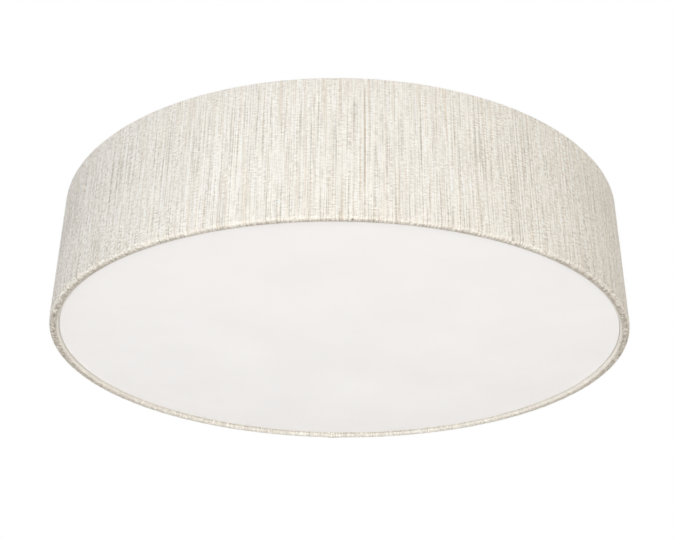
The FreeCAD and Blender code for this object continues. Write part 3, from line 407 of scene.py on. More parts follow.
def plastic_finish(name, light, dark, rough=0.45, texture_mm=0.6, depth_mm=0.04):
    """Moulded plastic: a fine spark texture and soft flow marks."""
    plastic = Shader(name, Roughness=rough, IOR=1.5)
    at = plastic.place()
    flow = plastic.noise(at, 16.0, detail=2.0, stretch=(1, 1, 2.5))
    spark = plastic.noise(at, texture_mm, detail=1.0)
    tone = plastic.mix(flow.between(0.3, 0.7), light, dark)
    plastic.bump(spark, depth_mm, 0.5)
    return plastic.finish(Base_Color=tone, Roughness=rough - 0.06 + spark * 0.14)


def porcelain_finish():
    """Glazed porcelain with pinholes and a warm tint where the glaze thins."""
    glaze = Shader("porcelain", Roughness=0.14, Coat_Roughness=0.06, IOR=1.52)
    at = glaze.place()
    thin = glaze.noise(at, 12.0, detail=3.0)
    pinhole = glaze.noise(at, 0.8, detail=0.0).between(0.76, 0.80)
    tone = glaze.mix(thin.between(0.35, 0.75), (240, 237, 230), (229, 223, 211))
    tone = glaze.mix(pinhole * 0.6, tone, (128, 112, 92))
    glaze.bump(glaze.noise(at, 3.5, detail=1.0) - pinhole * 0.8, 0.08, 0.4)
    return glaze.finish(Base_Color=tone, Roughness=0.12 + thin * 0.08, Coat_Weight=0.5 - pinhole * 0.5)


def sleeve_finish():
    """The leads' braided glass sleeve."""
    sleeve = Shader("glass_sleeve", Roughness=0.75, Sheen_Weight=0.1)
    at = sleeve.place()
    x, y, z = at.split()
    strands = [((x + y + z * slope) * 2.6).maths("SINE") for slope in (1.7, -1.7)]
    weave = (strands[0] * strands[1]).between(-0.6, 0.6)
    fuzz = sleeve.noise(at, 0.5, detail=2.0, roughness=0.7)
    tone = sleeve.mix(weave, (196, 190, 176), (232, 228, 218))
    tone = sleeve.mix(fuzz.between(0.5, 0.8) * 0.4, tone, (244, 241, 234))
    sleeve.bump(weave * 0.7 + fuzz * 0.3, 0.25, 0.8)
    return sleeve.finish(Base_Color=tone, Roughness=0.68 + fuzz * 0.2)


# the y of the middle of the earth lead, in millimetres
EARTH_LEAD_PLACE = sum(side[1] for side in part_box("earth_lead")) / 2 / MM


def earth_finish():
    """Green earth insulation with its yellow stripe along both sides."""
    pvc = Shader("earth_insulation", Roughness=0.38)
    at = pvc.place()
    _, y, _ = at.split()
    stripe = (y - EARTH_LEAD_PLACE).maths("ABSOLUTE").between(0.42, 0.52)
    dust = pvc.noise(at, 1.4, detail=3.0)
    tone = pvc.mix(stripe, (38, 112, 56), (214, 190, 44))
    tone = pvc.mix(dust.between(0.5, 0.9) * 0.2, tone, (150, 150, 130))
    pvc.bump(dust, 0.03, 0.4)
    return pvc.finish(Base_Color=tone, Roughness=0.34 + dust * 0.14)


def liner_finish():
    """The shade's stiff liner: calendered sheet with faint upright bands and a warm cast."""
    sheet = Shader("liner_sheet", Roughness=0.55)
    at = sheet.place()
    band = sheet.noise(at, 9.0, detail=2.0, stretch=(1, 1, 16))
    speck = sheet.noise(at, 1.2, detail=0.0).between(0.73, 0.79)
    tone = sheet.mix(band.between(0.3, 0.7), (241, 240, 237), (233, 231, 226))
    tone = sheet.mix(speck * 0.3, tone, (186, 178, 164))
    sheet.bump(band * 0.6 + sheet.noise(at, 0.9, detail=1.0) * 0.4, 0.12, 0.4)
    return sheet.finish(Base_Color=tone, Roughness=0.48 + band * 0.14)


ZINC = ((196, 199, 203), (168, 171, 172))
NICKEL = ((214, 211, 204), (186, 182, 174))


def finish_table(settings):
    """Each CAD node's finish and its paint slot, by the name that the nodes start with."""
    zinc = metal_finish("zinc_plate", *ZINC, rough=0.38)
    nickel = metal_finish("bright_nickel", *NICKEL, rough=0.2, grain=(1, 1, 0.3), grain_mm=0.35)
    brass = metal_finish("brass", (206, 170, 96), (172, 134, 70), rough=0.32)
    cap = metal_finish("lamp_cap_metal", (214, 214, 212), (188, 188, 186), rough=0.3, tarnish_mm=9.0)
    magnet = metal_finish("magnet_plate", (178, 178, 182), (150, 150, 154), rough=0.22, grain=(1, 1, 1))
    white = coat_finish("white_powder_coat", (236, 236, 233), (229, 228, 224))
    green = coat_finish("green_lacquer", (46, 122, 62), (32, 98, 48), peel_mm=0.5, rough=0.34)
    block = plastic_finish("block_plastic", (228, 226, 218), (216, 213, 203))
    black = plastic_finish("bushing_plastic", (44, 43, 42), (30, 30, 30), rough=0.5)
    globe = plastic_finish("opal_globe", (247, 246, 242), (241, 240, 235), rough=0.5, depth_mm=0.02)
    shell = plastic_finish("lamp_body_plastic", (240, 240, 238), (231, 231, 228), rough=0.4)
    zinc_parts = ["mounting_strap", "pan_studs", "floor_screws", "hanger_studs", "lampholder_rivets"]
    white_parts = ["ceiling_pan", "arm", "shade_lug", "shade_top_ring", "shade_bottom_ring"]
    groups = [
        (zinc, "zinc_steel", [*zinc_parts, "lampholder_bracket"]),
        (nickel, "bright_nickel", ["cap_nuts", "knurled_nut"]),
        (brass, "brass", ["centre_contacts", "screw_shell"]),
        (cap, "lamp_cap", ["lamp_cap"]),
        (magnet, "magnet", ["diffuser_magnets"]),
        (white, "white_steel", [*white_parts, "diffuser_seat_ring"]),
        (green, "green_screw", ["earth_screw"]),
        (block, "block_plastic", ["terminal_block"]),
        (black, "bushing_plastic", ["lead_bushings"]),
        (globe, "lamp_globe", ["lamp_globe"]),
        (shell, "lamp_body", ["lamp_body"]),
        (porcelain_finish(), "porcelain", ["lampholder_body"]),
        (sleeve_finish(), "lead_sleeve", ["lead_sleeve"]),
        (earth_finish(), "earth_insulation", ["earth_lead"]),
        (liner_finish(), "shade_liner", ["shade_liner"]),
        (opal_finish(settings), "opal_acrylic", ["diffuser_disc"]),
    ]
    return {name: (material, slot) for material, slot, names in groups for name in names}


# ---- shapes ------------------------------------------------------------------------------------

CLOTH_RADIUS = (SHADE_HIGH[0] - SHADE_LOW[0]) / 2 / MM
CLOTH_TOP = SHADE_HIGH[2] / MM
CLOTH_BOTTOM = SHADE_LOW[2] / MM
CLOTH_WALL = 0.6
# the hem round the wire, which bulges towards the disc, and the fold over the strip
HEM_RADIUS = 4.3
HEM_RETURN = 2.8
HEM_BULGE = 0.9
HEM_STEPS = 12
FOLD_RADIUS = 0.9
FOLD_WIDTH = 3.3
FOLD_RETURN = 8.0
FOLD_STEPS = 6
WALL_STEPS = 8
# the cloth's columns round the drum, and its lap at the back, which rises over the start
WALL_COLUMNS = 480
LAP_COLUMNS = 24
LAP_START = 105
LAP_WIDTH = 14.0
LAP_LIFT = 0.7
LAP_RISE_BEFORE = 4.0
LAP_RISE = 5.0
# how close counts as the same place
CLOSE = 1e-6
# surfaces that turn by more than this many degrees at an edge are shaded sharp there
SHARP_ANGLE = 40
HEAD_ROWS = 10


def arc(centre, radius, start, end, steps):
    """Points along an arc of a profile, both ends included."""
    angles = [(start + (end - start) * i / steps) * DEG for i in range(steps + 1)]
    return [(centre[0] + radius * math.cos(a), centre[1] + radius * math.sin(a)) for a in angles]


def cloth_profile():
    """The cloth's outside in section, from the hem's return, round the wire, up and over the strip."""
    hem = (CLOTH_RADIUS - HEM_RADIUS, CLOTH_BOTTOM + HEM_RADIUS)
    fold_level = CLOTH_TOP - FOLD_RADIUS
    inner = (CLOTH_RADIUS - FOLD_WIDTH + FOLD_RADIUS, fold_level)
    outer = (CLOTH_RADIUS - FOLD_RADIUS, fold_level)
    rise = fold_level - hem[1]
    wall = [(CLOTH_RADIUS, hem[1] + rise * i / WALL_STEPS) for i in range(1, WALL_STEPS)]
    tuck = arc(hem, HEM_RADIUS, -180, -90, HEM_STEPS)
    return (
        [(hem[0] - HEM_RADIUS - HEM_BULGE, hem[1] + HEM_RETURN)]
        + [(r - HEM_BULGE * (hem[0] - r) / HEM_RADIUS, z) for r, z in tuck]
        + arc(hem, HEM_RADIUS, -90, 0, HEM_STEPS)[1:]
        + wall
        + arc(outer, FOLD_RADIUS, 0, 90, FOLD_STEPS)
        + arc(inner, FOLD_RADIUS, 90, 180, FOLD_STEPS)
        + [(inner[0] - FOLD_RADIUS, CLOTH_TOP - FOLD_RETURN)]
    )


def distances(points):
    """How far along a profile each point is, from its first."""
    total = 0.0
    result = [0.0]
    for start, end in zip(points, points[1:]):
        total += math.dist(start, end)
        result.append(total)
    return result


def cloth_lengths():
    """The section's whole length, the top edge's place along it, and how far below that the hem starts."""
    points = cloth_profile()
    along = distances(points)
    top = next(a for p, a in zip(points, along) if p[1] >= CLOTH_TOP - FOLD_RADIUS - CLOSE)
    hem_top = next(a for p, a in zip(points, along) if p[0] >= CLOTH_RADIUS - CLOSE)
    return along[-1], top, top - hem_top


def across_at(azimuth):
    """How far round the cloth from its start an azimuth is."""
    return CLOTH_RADIUS * (azimuth - LAP_START) * DEG


CLOTH_LENGTH, TOP_EDGE, HEM_TOP = cloth_lengths()
# how far down each painted shade line in the hem's creases is, with its strength
HEM_CREASE_SHADES = [(HEM_TOP + 7.6, 0.5), (HEM_TOP + 13.9, 0.8)]
# where the dark fleck and the thick yarn are
FLECK = (across_at(286.9), HEM_TOP + 5.0)
YARN_PLACE = across_at(288.8)


class Geometry(Tree):
    """A Geometry Nodes tree with named inputs, put on an object as a modifier and made into its mesh."""

    def __init__(self, name, **inputs):
        self.group = bpy.data.node_groups.new(name, "GeometryNodeTree")
        super().__init__(self.group)
        face = self.group.interface
        face.new_socket("Geometry", in_out="OUTPUT", socket_type="NodeSocketGeometry")
        face.new_socket("Geometry", in_out="INPUT", socket_type="NodeSocketGeometry")
        self.values = {}
        for label, value in inputs.items():
            kind = "NodeSocketInt" if isinstance(value, int) else "NodeSocketFloat"
            kind = "NodeSocketMaterial" if isinstance(value, bpy.types.Material) else kind
            socket = face.new_socket(label, in_out="INPUT", socket_type=kind)
            self.values[socket.identifier] = value
        entry = self.node("NodeGroupInput")
        self.given = {s.name: Socket(self, s) for s in entry.outputs if s.name}

    def named(self, name, kind="FLOAT"):
        """An attribute of the mesh that the tree is on."""
        return self.add("GeometryNodeInputNamedAttribute", {"Name": name}, data_type=kind)

    def sample(self, source, value, index, kind):
        """A value read from one point of a source mesh."""
        values = {"Geometry": source, "Value": value, "Index": index}
        return self.add("GeometryNodeSampleIndex", values, data_type=kind)

    def turned(self, length, rows, columns, reach):
        """A closed solid turned about Z from 0 to length, its radius a function of height and angle.

        The first and last of its rows close the ends.
        """
        values = {"Size X": 1.0, "Size Y": 1.0, "Vertices X": columns + 1, "Vertices Y": rows}
        grid = self.add("GeometryNodeMeshGrid", values)
        x, y, _ = self.add("GeometryNodeInputPosition").split()
        angle = (x + 0.5) * math.tau
        row = ((y + 0.5) * (rows - 1)).maths("ROUND")
        height = ((row - 1) / (rows - 3)).clamped() * length
        inside = row.maths("GREATER_THAN", 0.5) * (rows - 1.5 - row).maths("GREATER_THAN", 0.0)
        radius = reach(height, angle) * inside
        place = self.xyz(radius * angle.maths("COSINE"), radius * angle.maths("SINE"), height)
        wrapped = self.add("GeometryNodeSetPosition", {"Geometry": grid, "Position": place})
        return self.add("GeometryNodeMergeByDistance", {"Geometry": wrapped, "Distance": MM / 100})

    def crisp(self, geometry):
        """Smooth faces, with sharp edges wherever the surface turns by more than SHARP_ANGLE degrees."""
        smooth = self.add("GeometryNodeSetShadeSmooth", {"Geometry": geometry})
        sharp = self.add("GeometryNodeInputMeshEdgeAngle").maths("GREATER_THAN", SHARP_ANGLE * DEG)
        values = {"Geometry": smooth, "Selection": sharp, "Shade Smooth": False}
        return self.add("GeometryNodeSetShadeSmooth", values, domain="EDGE")

    def end(self, geometry):
        """Realises the instances, paints the result and sends it out."""
        solid = self.add("GeometryNodeRealizeInstances", [geometry])
        values = {"Geometry": solid, "Material": self.given["material"]}
        self.node("NodeGroupOutput", [self.add("GeometryNodeSetMaterial", values)])

    def run(self, piece):
        """Puts the tree on a piece and sets its inputs."""
        modifier = piece.modifiers.new(self.group.name, "NODES")
        modifier.node_group = self.group
        for identifier, value in self.values.items():
            modifier[identifier] = value


def new_piece(name, vertices, edges=(), faces=()):
    """An object at the origin with a mesh given in millimetres."""
    mesh = bpy.data.meshes.new(name)
    mesh.from_pydata([Vector(v) * MM for v in vertices], edges, faces)
    piece = bpy.data.objects.new(name, mesh)
    bpy.context.scene.collection.objects.link(piece)
    return piece


def settle(piece):
    """Replaces a piece's mesh by what its modifiers make of it, and removes them."""
    graph = bpy.context.evaluated_depsgraph_get()
    made = bpy.data.meshes.new_from_object(piece.evaluated_get(graph))
    used = [material for material in made.materials if material]
    made.materials.clear()
    made.materials.append(used[0])
    made.polygons.foreach_set("material_index", [0] * len(made.polygons))
    piece.modifiers.clear()
    piece.data = made
    made.name = piece.name


def finish_piece(piece, body):
    """Gives a finished piece its body."""
    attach(piece, body)


def cloth_tree(settings, material):
    """The cloth: a strip that follows the section and goes once round, then laps over its own start."""
    rows = len(cloth_profile())
    tree = Geometry(
        "drum_cloth",
        rows=rows,
        columns=WALL_COLUMNS,
        lap_columns=LAP_COLUMNS,
        lap_width=settings.lap_width,
        lap_lift=LAP_LIFT * MM,
        start=LAP_START * DEG,
        radius=CLOTH_RADIUS * MM,
        material=material,
    )
    given = tree.given
    columns = given["columns"] + given["lap_columns"]
    values = {"Size X": 1.0, "Size Y": 1.0, "Vertices X": columns + 1, "Vertices Y": given["rows"]}
    grid = tree.add("GeometryNodeMeshGrid", values)
    x, y, _ = tree.add("GeometryNodeInputPosition").split()
    column = (x + 0.5) * columns
    row = ((y + 0.5) * (given["rows"] - 1)).maths("ROUND")
    whole = given["radius"] * math.tau
    across = column.maths("MINIMUM", given["columns"]) * whole / given["columns"]
    lap = (column - given["columns"]).maths("MAXIMUM", 0.0)
    across = across + lap * given["lap_width"] / given["lap_columns"]
    section = given["Geometry"]
    along = tree.sample(section, tree.named("along"), row, "FLOAT")
    point = tree.sample(section, tree.add("GeometryNodeInputPosition"), row, "FLOAT_VECTOR")
    reach, _, level = point.split()
    angle = given["start"] + across / given["radius"]
    place = tree.xyz(reach * angle.maths("COSINE"), reach * angle.maths("SINE"), level)
    mapped = tree.add(
        "GeometryNodeStoreNamedAttribute",
        {"Geometry": grid, "Name": "cloth", "Value": tree.xyz(across, along)},
        data_type="FLOAT2",
        domain="CORNER",
    )
    wall = tree.add("GeometryNodeSetPosition", {"Geometry": mapped, "Position": place})
    reached, _, _ = tree.named("cloth", "FLOAT_VECTOR").split()
    risen = (reached - (whole - LAP_RISE_BEFORE * MM)) / (LAP_RISE * MM)
    lift = risen.clamped() * given["lap_lift"]
    normal = tree.add("GeometryNodeInputNormal")
    offset = tree.add("ShaderNodeVectorMath", {0: normal, "Scale": lift}, operation="SCALE")
    lapped = tree.add("GeometryNodeSetPosition", {"Geometry": wall, "Offset": offset})
    smooth = tree.add("GeometryNodeSetShadeSmooth", {"Geometry": lapped})
    tree.end(smooth)
    return tree


def fixing_tree(name, material, sizes, recess=None):
    """A threaded shank up from a seat and a domed head below it, at every point of a piece."""
    tree = Geometry(name, **sizes, material=material)
    given = tree.given

    def shank_reach(height, angle):
        turn = (height / given["pitch"] - angle / math.tau).maths("FRACT")
        groove = (turn * 2 - 1).maths("ABSOLUTE")
        lead_in = given["radius"] - given["depth"] + (given["length"] - height)
        return (given["radius"] - groove * given["depth"]).maths("MINIMUM", lead_in)

    def head_reach(height, angle):
        down = 1 - height / given["head_height"]
        dome = (1 - down**4).maths("MAXIMUM", 0.0) ** 0.5
        return given["head_radius"] * dome * 0.6 + given["head_radius"] * 0.4

    shank = tree.turned(given["length"], given["rows"], given["columns"], shank_reach)
    head = tree.turned(given["head_height"], HEAD_ROWS, given["columns"] * 1.5, head_reach)
    below = tree.xyz(0.0, 0.0, given["head_height"] * -1.0)
    head = tree.add("GeometryNodeTransform", {"Geometry": head, "Translation": below})
    if recess:
        length, width, deep, arms = recess
        cuts = []
        for sides in ((length, width), (width, length))[:arms]:
            bar = tree.add("GeometryNodeMeshCube", {"Size": (sides[0] * MM, sides[1] * MM, 2 * deep * MM)})
            cuts.append(tree.add("GeometryNodeTransform", {"Geometry": bar, "Translation": below}))
        cut = tree.node("GeometryNodeMeshBoolean", {"Mesh 1": head}, operation="DIFFERENCE")
        for bar in cuts:
            tree.feed(cut.inputs["Mesh 2"], bar)
        head = Socket(tree, cut.outputs["Mesh"])
    turn = tree.add("FunctionNodeEulerToRotation", [tree.named("turn", "FLOAT_VECTOR")])
    shanks = {"Points": given["Geometry"], "Instance": shank, "Rotation": turn}
    shanks["Scale"] = tree.xyz(1.0, 1.0, tree.named("reach"))
    heads = {"Points": given["Geometry"], "Instance": head, "Rotation": turn}
    join = tree.node("GeometryNodeJoinGeometry")
    for values in (heads, shanks):
        tree.feed(join.inputs[0], tree.add("GeometryNodeInstanceOnPoints", values))
    solid = tree.add("GeometryNodeRealizeInstances", [Socket(tree, join.outputs[0])])
    tree.end(tree.crisp(solid))
    return tree


def fixings(name, places, body, slot, material, replaces=(), recess=None, **sizes):
    """One mesh of like fixings; each place is its seat, its turn and its shank's share of the length."""
    piece = new_piece(name, [seat for seat, _, _ in places])
    attributes = piece.data.attributes
    attributes.new("turn", "FLOAT_VECTOR", "POINT")
    attributes.new("reach", "FLOAT", "POINT")
    for i, (_, turn, reach) in enumerate(places):
        attributes["turn"].data[i].vector = [angle * DEG for angle in turn]
        attributes["reach"].data[i].value = reach
    counts = {key: sizes.pop(key) for key in ("rows", "columns")}
    lengths = {key: float(value) * MM for key, value in sizes.items()}
    fixing_tree(name + "_tree", bpy.data.materials[material], {**lengths, **counts}, recess).run(piece)
    settle(piece)
    finish_piece(piece, body)
    if replaces:
        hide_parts(*replaces)


# where the fixings sit, in millimetres: radius from the axis, level below the ceiling, and how
# far to each side of an azimuth or of the middle
FOOT_SCREWS = {"radius": 67, "level": -27, "aside": 8}
ARM_SCREWS = {"radii": (108, 132), "level": -26.5}
BLOCK_SCREWS = {"aside": 21, "level": -25}
CLAMPS = {"across": (-12, 0, 12), "along": (19, -12), "level": -12.4}
SHADE_STUDS = {"radius": 285, "level": -25}
STRAP_STUDS = {"aside": 34, "level": -2}
LUG_RIVETS = {"radius": 301.1, "level": -14.6, "aside": 5}
CAP_SEATS = {"radius": 61.8, "level": -70}
# how long the screws' shanks are in the feet, at the arms and at the block
SHANK = 7
ARM_SHANK = 6.5
BLOCK_SHANK = 5


def both_ways(number):
    """A number and its opposite."""
    return (number, -number)


def round_place(radius, azimuth, z, aside=0.0):
    """A point at a radius and azimuth, moved aside along the tangent."""
    c, s = math.cos(azimuth * DEG), math.sin(azimuth * DEG)
    return (radius * c - aside * s, radius * s + aside * c, z)


def settings_of(context):
    """The add-on's settings in the scene."""
    return context.scene.drum_light


class DRUM_OT_cloth(bpy.types.Operator):
    """Make the cloth skin: lapped round the drum, rolled over the wire and folded over the strip"""

    bl_idname = "drum_light.cloth"
    bl_label = "Cloth"

    def execute(self, context):
        settings = settings_of(context)
        material = ClothShader(settings).woven()
        section = cloth_profile()
        piece = new_piece("cloth_skin", [(r, 0, z) for r, z in section])
        along = piece.data.attributes.new("along", "FLOAT", "POINT")
        for item, length in zip(along.data, distances(section)):
            item.value = (TOP_EDGE - length) * MM
        cloth_tree(settings, material).run(piece)
        wall = piece.modifiers.new("wall", "SOLIDIFY")
        wall.thickness = settings.cloth_wall
        wall.offset = -1
        wall.use_even_offset = True
        settle(piece)
        finish_piece(piece, "shade")
        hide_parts("shade_fabric")
        CLOTH_LENGTH * MM
        return {"FINISHED"}


class DRUM_OT_screws(bpy.types.Operator):
    """Make the pan-head screws in the pan's floor and the clamping screws of the terminal block"""

    bl_idname = "drum_light.screws"
    bl_label = "Screws"

    def execute(self, context):
        feet = [
            (
                round_place(FOOT_SCREWS["radius"], a, FOOT_SCREWS["level"], side),
                (0, 0, a * 1.7 + side * 9),
                1.0,
            )
            for a in LAMP_AZIMUTHS
            for side in both_ways(FOOT_SCREWS["aside"])
        ]
        arms = [
            (round_place(r, a, ARM_SCREWS["level"]), (0, 0, a * 2.3 + r), ARM_SHANK / SHANK)
            for a in ARM_AZIMUTHS
            for r in ARM_SCREWS["radii"]
        ]
        block = [
            ((aside, aside, BLOCK_SCREWS["level"]), (0, 0, math.copysign(31, aside)), BLOCK_SHANK / SHANK)
            for aside in both_ways(BLOCK_SCREWS["aside"])
        ]
        fixings(
            "pan_head_screws",
            feet + arms + block,
            "ceiling_body",
            "zinc_steel",
            "zinc_plate",
            replaces=["floor_screws"],
            recess=(3.6, 0.9, 1.3, 2),
            radius=2,
            depth=0.4,
            pitch=0.7,
            length=SHANK,
            head_radius=3.5,
            head_height=2.2,
            rows=62,
            columns=20,
        )
        clamps = [
            ((x, y, CLAMPS["level"]), (180, 0, x * 7 + y), 1.0)
            for x in CLAMPS["across"]
            for y in CLAMPS["along"]
        ]
        fixings(
            "clamping_screws",
            clamps,
            "ceiling_body",
            "zinc_steel",
            "zinc_plate",
            recess=(5, 0.7, 0.6, 1),
            radius=1.5,
            depth=0.25,
            pitch=0.5,
            length=2,
            head_radius=2.1,
            head_height=1.2,
            rows=24,
            columns=16,
        )
        return {"FINISHED"}


class DRUM_OT_studs(bpy.types.Operator):
    """Make the threaded studs that carry the pan and the shade, and the rivets through the shade's lugs"""

    bl_idname = "drum_light.studs"
    bl_label = "Studs and rivets"

    def execute(self, context):
        seats = [round_place(SHADE_STUDS["radius"], a, SHADE_STUDS["level"]) for a in ARM_AZIMUTHS]
        fixings(
            "shade_studs",
            [(seat, (180, 0, a), 1.0) for seat, a in zip(seats, ARM_AZIMUTHS)],
            "ceiling_body",
            "zinc_steel",
            "zinc_plate",
            replaces=["hanger_studs"],
            radius=2.5,
            depth=0.45,
            pitch=0.8,
            length=22,
            head_radius=4,
            head_height=1.6,
            rows=168,
            columns=20,
        )
        fixings(
            "strap_studs",
            [((x, 0, STRAP_STUDS["level"]), (180, 0, 0), 1.0) for x in both_ways(STRAP_STUDS["aside"])],
            "ceiling_body",
            "zinc_steel",
            "zinc_plate",
            replaces=["pan_studs"],
            radius=2,
            depth=0.4,
            pitch=0.7,
            length=29.5,
            head_radius=2.3,
            head_height=0.6,
            rows=256,
            columns=18,
        )
        rivets = [
            (round_place(LUG_RIVETS["radius"], a, LUG_RIVETS["level"], side), (0, 90, a), 1.0)
            for a in ARM_AZIMUTHS
            for side in both_ways(LUG_RIVETS["aside"])
        ]
        fixings(
            "lug_rivets",
            rivets,
            "shade",
            "white_steel",
            "white_powder_coat",
            radius=1.2,
            depth=0.0,
            pitch=1,
            length=1,
            head_radius=2.2,
            head_height=0.9,
            rows=5,
            columns=20,
        )
        return {"FINISHED"}


class DRUM_OT_lamp_caps(bpy.types.Operator):
    """Make the screw thread on each lamp's cap"""

    bl_idname = "drum_light.lamp_caps"
    bl_label = "Lamp caps"

    def execute(self, context):
        for number, azimuth in enumerate(LAMP_AZIMUTHS, 1):
            seat = round_place(CAP_SEATS["radius"], azimuth, CAP_SEATS["level"])
            fixings(
                f"lamp_cap_thread_{number}",
                [(seat, (0, 90, azimuth), 1.0)],
                f"lamp_{number}",
                "lamp_cap",
                "lamp_cap_metal",
                replaces=[f"lamp_cap_{number}"],
                radius=13,
                depth=0.7,
                pitch=3.63,
                length=22.4,
                head_radius=11,
                head_height=3.2,
                rows=72,
                columns=64,
            )
        return {"FINISHED"}


class DRUM_OT_finishes(bpy.types.Operator):
    """Give every visible part of the frame its finish"""

    bl_idname = "drum_light.finishes"
    bl_label = "Finishes"

    def execute(self, context):
        table = finish_table(settings_of(context))
        for name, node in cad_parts.items():
            stem = name.rstrip("0123456789").rstrip("_")
            if stem == "shade_fabric":
                continue
            material, slot = table[stem]
            node.data.materials.clear()
            node.data.materials.append(material)
        return {"FINISHED"}


# ---- the stage ---------------------------------------------------------------------------------

CAMERA_PLACE = (0.27045, -1.00933, -0.55424)
CAMERA_TURN = (116.1782, -0.5800, 14.8844)
CAMERA_LENS = 55.24
SENSOR_WIDTH = 36
FLOOR_RADIUS = 6000
FLOOR_SIDES = 72
FLOOR_WHITE = 0.72
# each light's name, place, aim, size, watts and tint
LIGHTS = [
    ("key", (0.35, -2.6, -0.75), (0, 0, -0.1), 1.2, 28, (1, 1, 1)),
    ("low", (0.45, -1.7, -1.5), (0, 0, -0.14), 1.2, 15, (1, 1, 1)),
    ("under", (-0.1, 0.4, -1.6), (0, 0, -0.14), 1.6, 6.8, (1, 0.975, 0.97)),
    ("left", (-2.3, -1.3, -0.3), (0, 0, -0.1), 1.4, 7, (1, 0.98, 0.95)),
    ("right", (2.4, -0.5, -0.3), (0, 0, -0.1), 1.4, 7, (1, 0.81, 0.54)),
    ("above", (0.6, 0.9, 2.4), (0, 0, 0), 2.2, 40, (1, 1, 1)),
    ("back", (-1.2, 2.4, 0.6), (0, 0, -0.1), 2.0, 20, (1, 1, 1)),
]


def seen_white(tree, lit, kind="ShaderNodeBackground", share=1.0):
    """White, or a share of it, to the camera and in reflections, and the given shader to everything else."""
    path = tree.node("ShaderNodeLightPath")
    seen = [Socket(tree, path.outputs[f"Is {kind} Ray"]) for kind in ("Camera", "Glossy", "Transmission")]
    factor = seen[0].maths("MAXIMUM", seen[1]).maths("MAXIMUM", seen[2])
    white = tree.add(kind, {"Color": (1, 1, 1, 1), "Strength": 1.0})
    return tree.add("ShaderNodeMixShader", [factor * share, lit, white])


class DRUM_OT_stage(bpy.types.Operator):
    """Set the floor, the plain surroundings, the lights and the camera"""

    bl_idname = "drum_light.stage"
    bl_label = "Stage"

    def execute(self, context):
        settings = settings_of(context)
        scene = context.scene
        scene.view_settings.view_transform = "Standard"
        self.surroundings(scene, settings)
        self.floor(settings)
        for name, place, aim, size, watts, tint in LIGHTS:
            self.light(name, place, aim, size, watts * settings.light_level, tint)
        camera = bpy.data.objects.new("camera", bpy.data.cameras.new("camera"))
        camera.data.lens = CAMERA_LENS
        camera.data.sensor_width = SENSOR_WIDTH
        camera.location = CAMERA_PLACE
        camera.rotation_euler = [angle * DEG for angle in CAMERA_TURN]
        scene.collection.objects.link(camera)
        scene.camera = camera
        return {"FINISHED"}

    def surroundings(self, scene, settings):
        """A white world that lights the object evenly."""
        scene.world = bpy.data.worlds.new("surroundings")
        scene.world.use_nodes = True
        tree = Tree(scene.world.node_tree)
        tree.tree.nodes.remove(tree.tree.nodes["Background"])
        lit = tree.add("ShaderNodeBackground", {"Color": (1, 1, 1, 1), "Strength": settings.world_level})
        tree.feed(tree.tree.nodes["World Output"].inputs["Surface"], seen_white(tree, lit))

    def floor(self, settings):
        """The pale floor, well below the light."""
        depth = -settings.floor_drop / MM
        rim = [round_place(FLOOR_RADIUS, i * 360 / FLOOR_SIDES, depth) for i in range(FLOOR_SIDES)]
        piece = new_piece("floor", rim, faces=[tuple(range(FLOOR_SIDES))])
        pale = Shader("pale_floor", Roughness=0.8)
        at = pale.place()
        tone = pale.mix(pale.noise(at, 300.0, detail=2.0), (242, 242, 240), (238, 238, 236))
        piece.data.materials.append(pale.finish(Base_Color=tone))
        lit = Socket(pale, pale.shader.outputs["BSDF"])
        out = pale.tree.nodes["Material Output"].inputs["Surface"]
        pale.feed(out, seen_white(pale, lit, "ShaderNodeEmission", FLOOR_WHITE))

    def light(self, name, place, aim, size, watts, tint):
        """A square soft light."""
        lamp = bpy.data.lights.new(name, "AREA")
        lamp.shape = "SQUARE"
        lamp.size = size
        lamp.energy = watts
        lamp.color = tint
        holder = bpy.data.objects.new(name, lamp)
        holder.location = place
        holder.rotation_euler = (Vector(aim) - Vector(place)).to_track_quat("-Z", "Y").to_euler()
        bpy.context.scene.collection.objects.link(holder)


# ---- the add-on --------------------------------------------------------------------------------


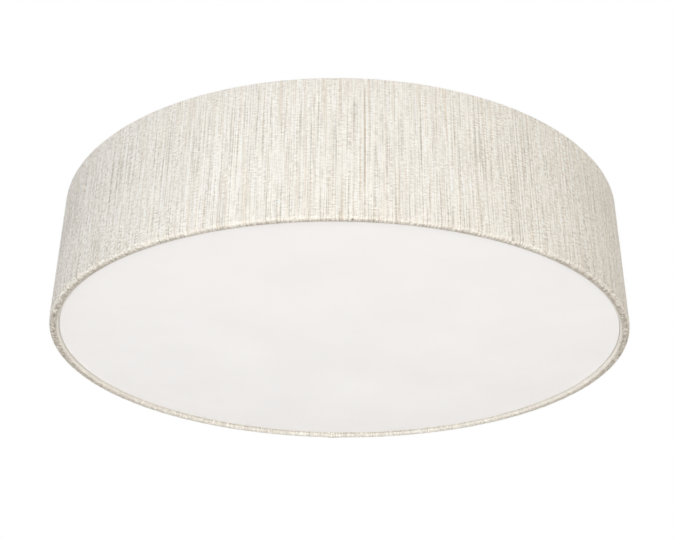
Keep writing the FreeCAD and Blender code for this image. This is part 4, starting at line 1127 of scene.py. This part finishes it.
class DrumLightSettings(bpy.types.PropertyGroup):
    """The sizes and tones that are changed to suit another room."""

    cloth_colour: bpy.props.FloatVectorProperty(
        name="Cloth colour",
        description="The ground tone between the cloth's streaks",
        subtype="COLOR",
        size=3,
        min=0,
        max=1,
        default=rgba((248, 244, 236))[:3],
    )
    cloth_wall: bpy.props.FloatProperty(
        name="Cloth thickness",
        description="How thick the cloth and its backing are",
        default=CLOTH_WALL * MM,
        min=0.0001,
        max=0.002,
        unit="LENGTH",
    )
    streak_length: bpy.props.FloatProperty(
        name="Streak length",
        description="The usual length of a slub in an upright yarn",
        default=0.07,
        min=0.005,
        max=0.4,
        unit="LENGTH",
    )
    lap_width: bpy.props.FloatProperty(
        name="Lap",
        description="How far the cloth laps over its own start",
        default=LAP_WIDTH * MM,
        min=0.004,
        max=0.04,
        unit="LENGTH",
    )
    # the strength of the glow painted on the disc over each lamp; the lamps themselves give no light
    glow: bpy.props.FloatProperty(
        name="Glow",
        description="How much of the lamps shows through the disc",
        default=0.012,
        min=0,
        max=1,
        subtype="FACTOR",
    )
    world_level: bpy.props.FloatProperty(
        name="Surroundings",
        description="How much light comes from all round",
        default=0.29,
        min=0,
        max=2,
    )
    light_level: bpy.props.FloatProperty(
        name="Lights",
        description="A factor on every light's power",
        default=1.0,
        min=0,
        max=4,
    )
    floor_drop: bpy.props.FloatProperty(
        name="Floor",
        description="How far the floor is below the ceiling",
        default=1.7,
        min=0.5,
        max=4,
        unit="LENGTH",
    )


OPERATORS = [
    DRUM_OT_cloth,
    DRUM_OT_finishes,
    DRUM_OT_screws,
    DRUM_OT_studs,
    DRUM_OT_lamp_caps,
    DRUM_OT_stage,
]


class DRUM_PT_panel(bpy.types.Panel):
    """Lists the light's groups of pieces and their settings."""

    bl_idname = "DRUM_PT_panel"
    bl_label = "Drum Light"
    bl_space_type = "VIEW_3D"
    bl_region_type = "UI"
    bl_category = "Drum Light"

    def draw(self, context):
        settings = settings_of(context)
        for name in DrumLightSettings.__annotations__:
            self.layout.prop(settings, name)
        for operator in OPERATORS:
            self.layout.operator(operator.bl_idname)


CLASSES = [DrumLightSettings, *OPERATORS, DRUM_PT_panel]


def register():
    """Registers the add-on's classes and its settings."""
    for kind in CLASSES:
        bpy.utils.register_class(kind)
    bpy.types.Scene.drum_light = bpy.props.PointerProperty(type=DrumLightSettings)


def unregister():
    """Takes them away again."""
    del bpy.types.Scene.drum_light
    for kind in reversed(CLASSES):
        bpy.utils.unregister_class(kind)


def main():
    """Makes every group of pieces and the stage."""
    register()
    bpy.ops.drum_light.cloth()
    bpy.ops.drum_light.finishes()
    bpy.ops.drum_light.screws()
    bpy.ops.drum_light.studs()
    bpy.ops.drum_light.lamp_caps()
    bpy.ops.drum_light.stage()


if __name__ == "__main__":
    main()
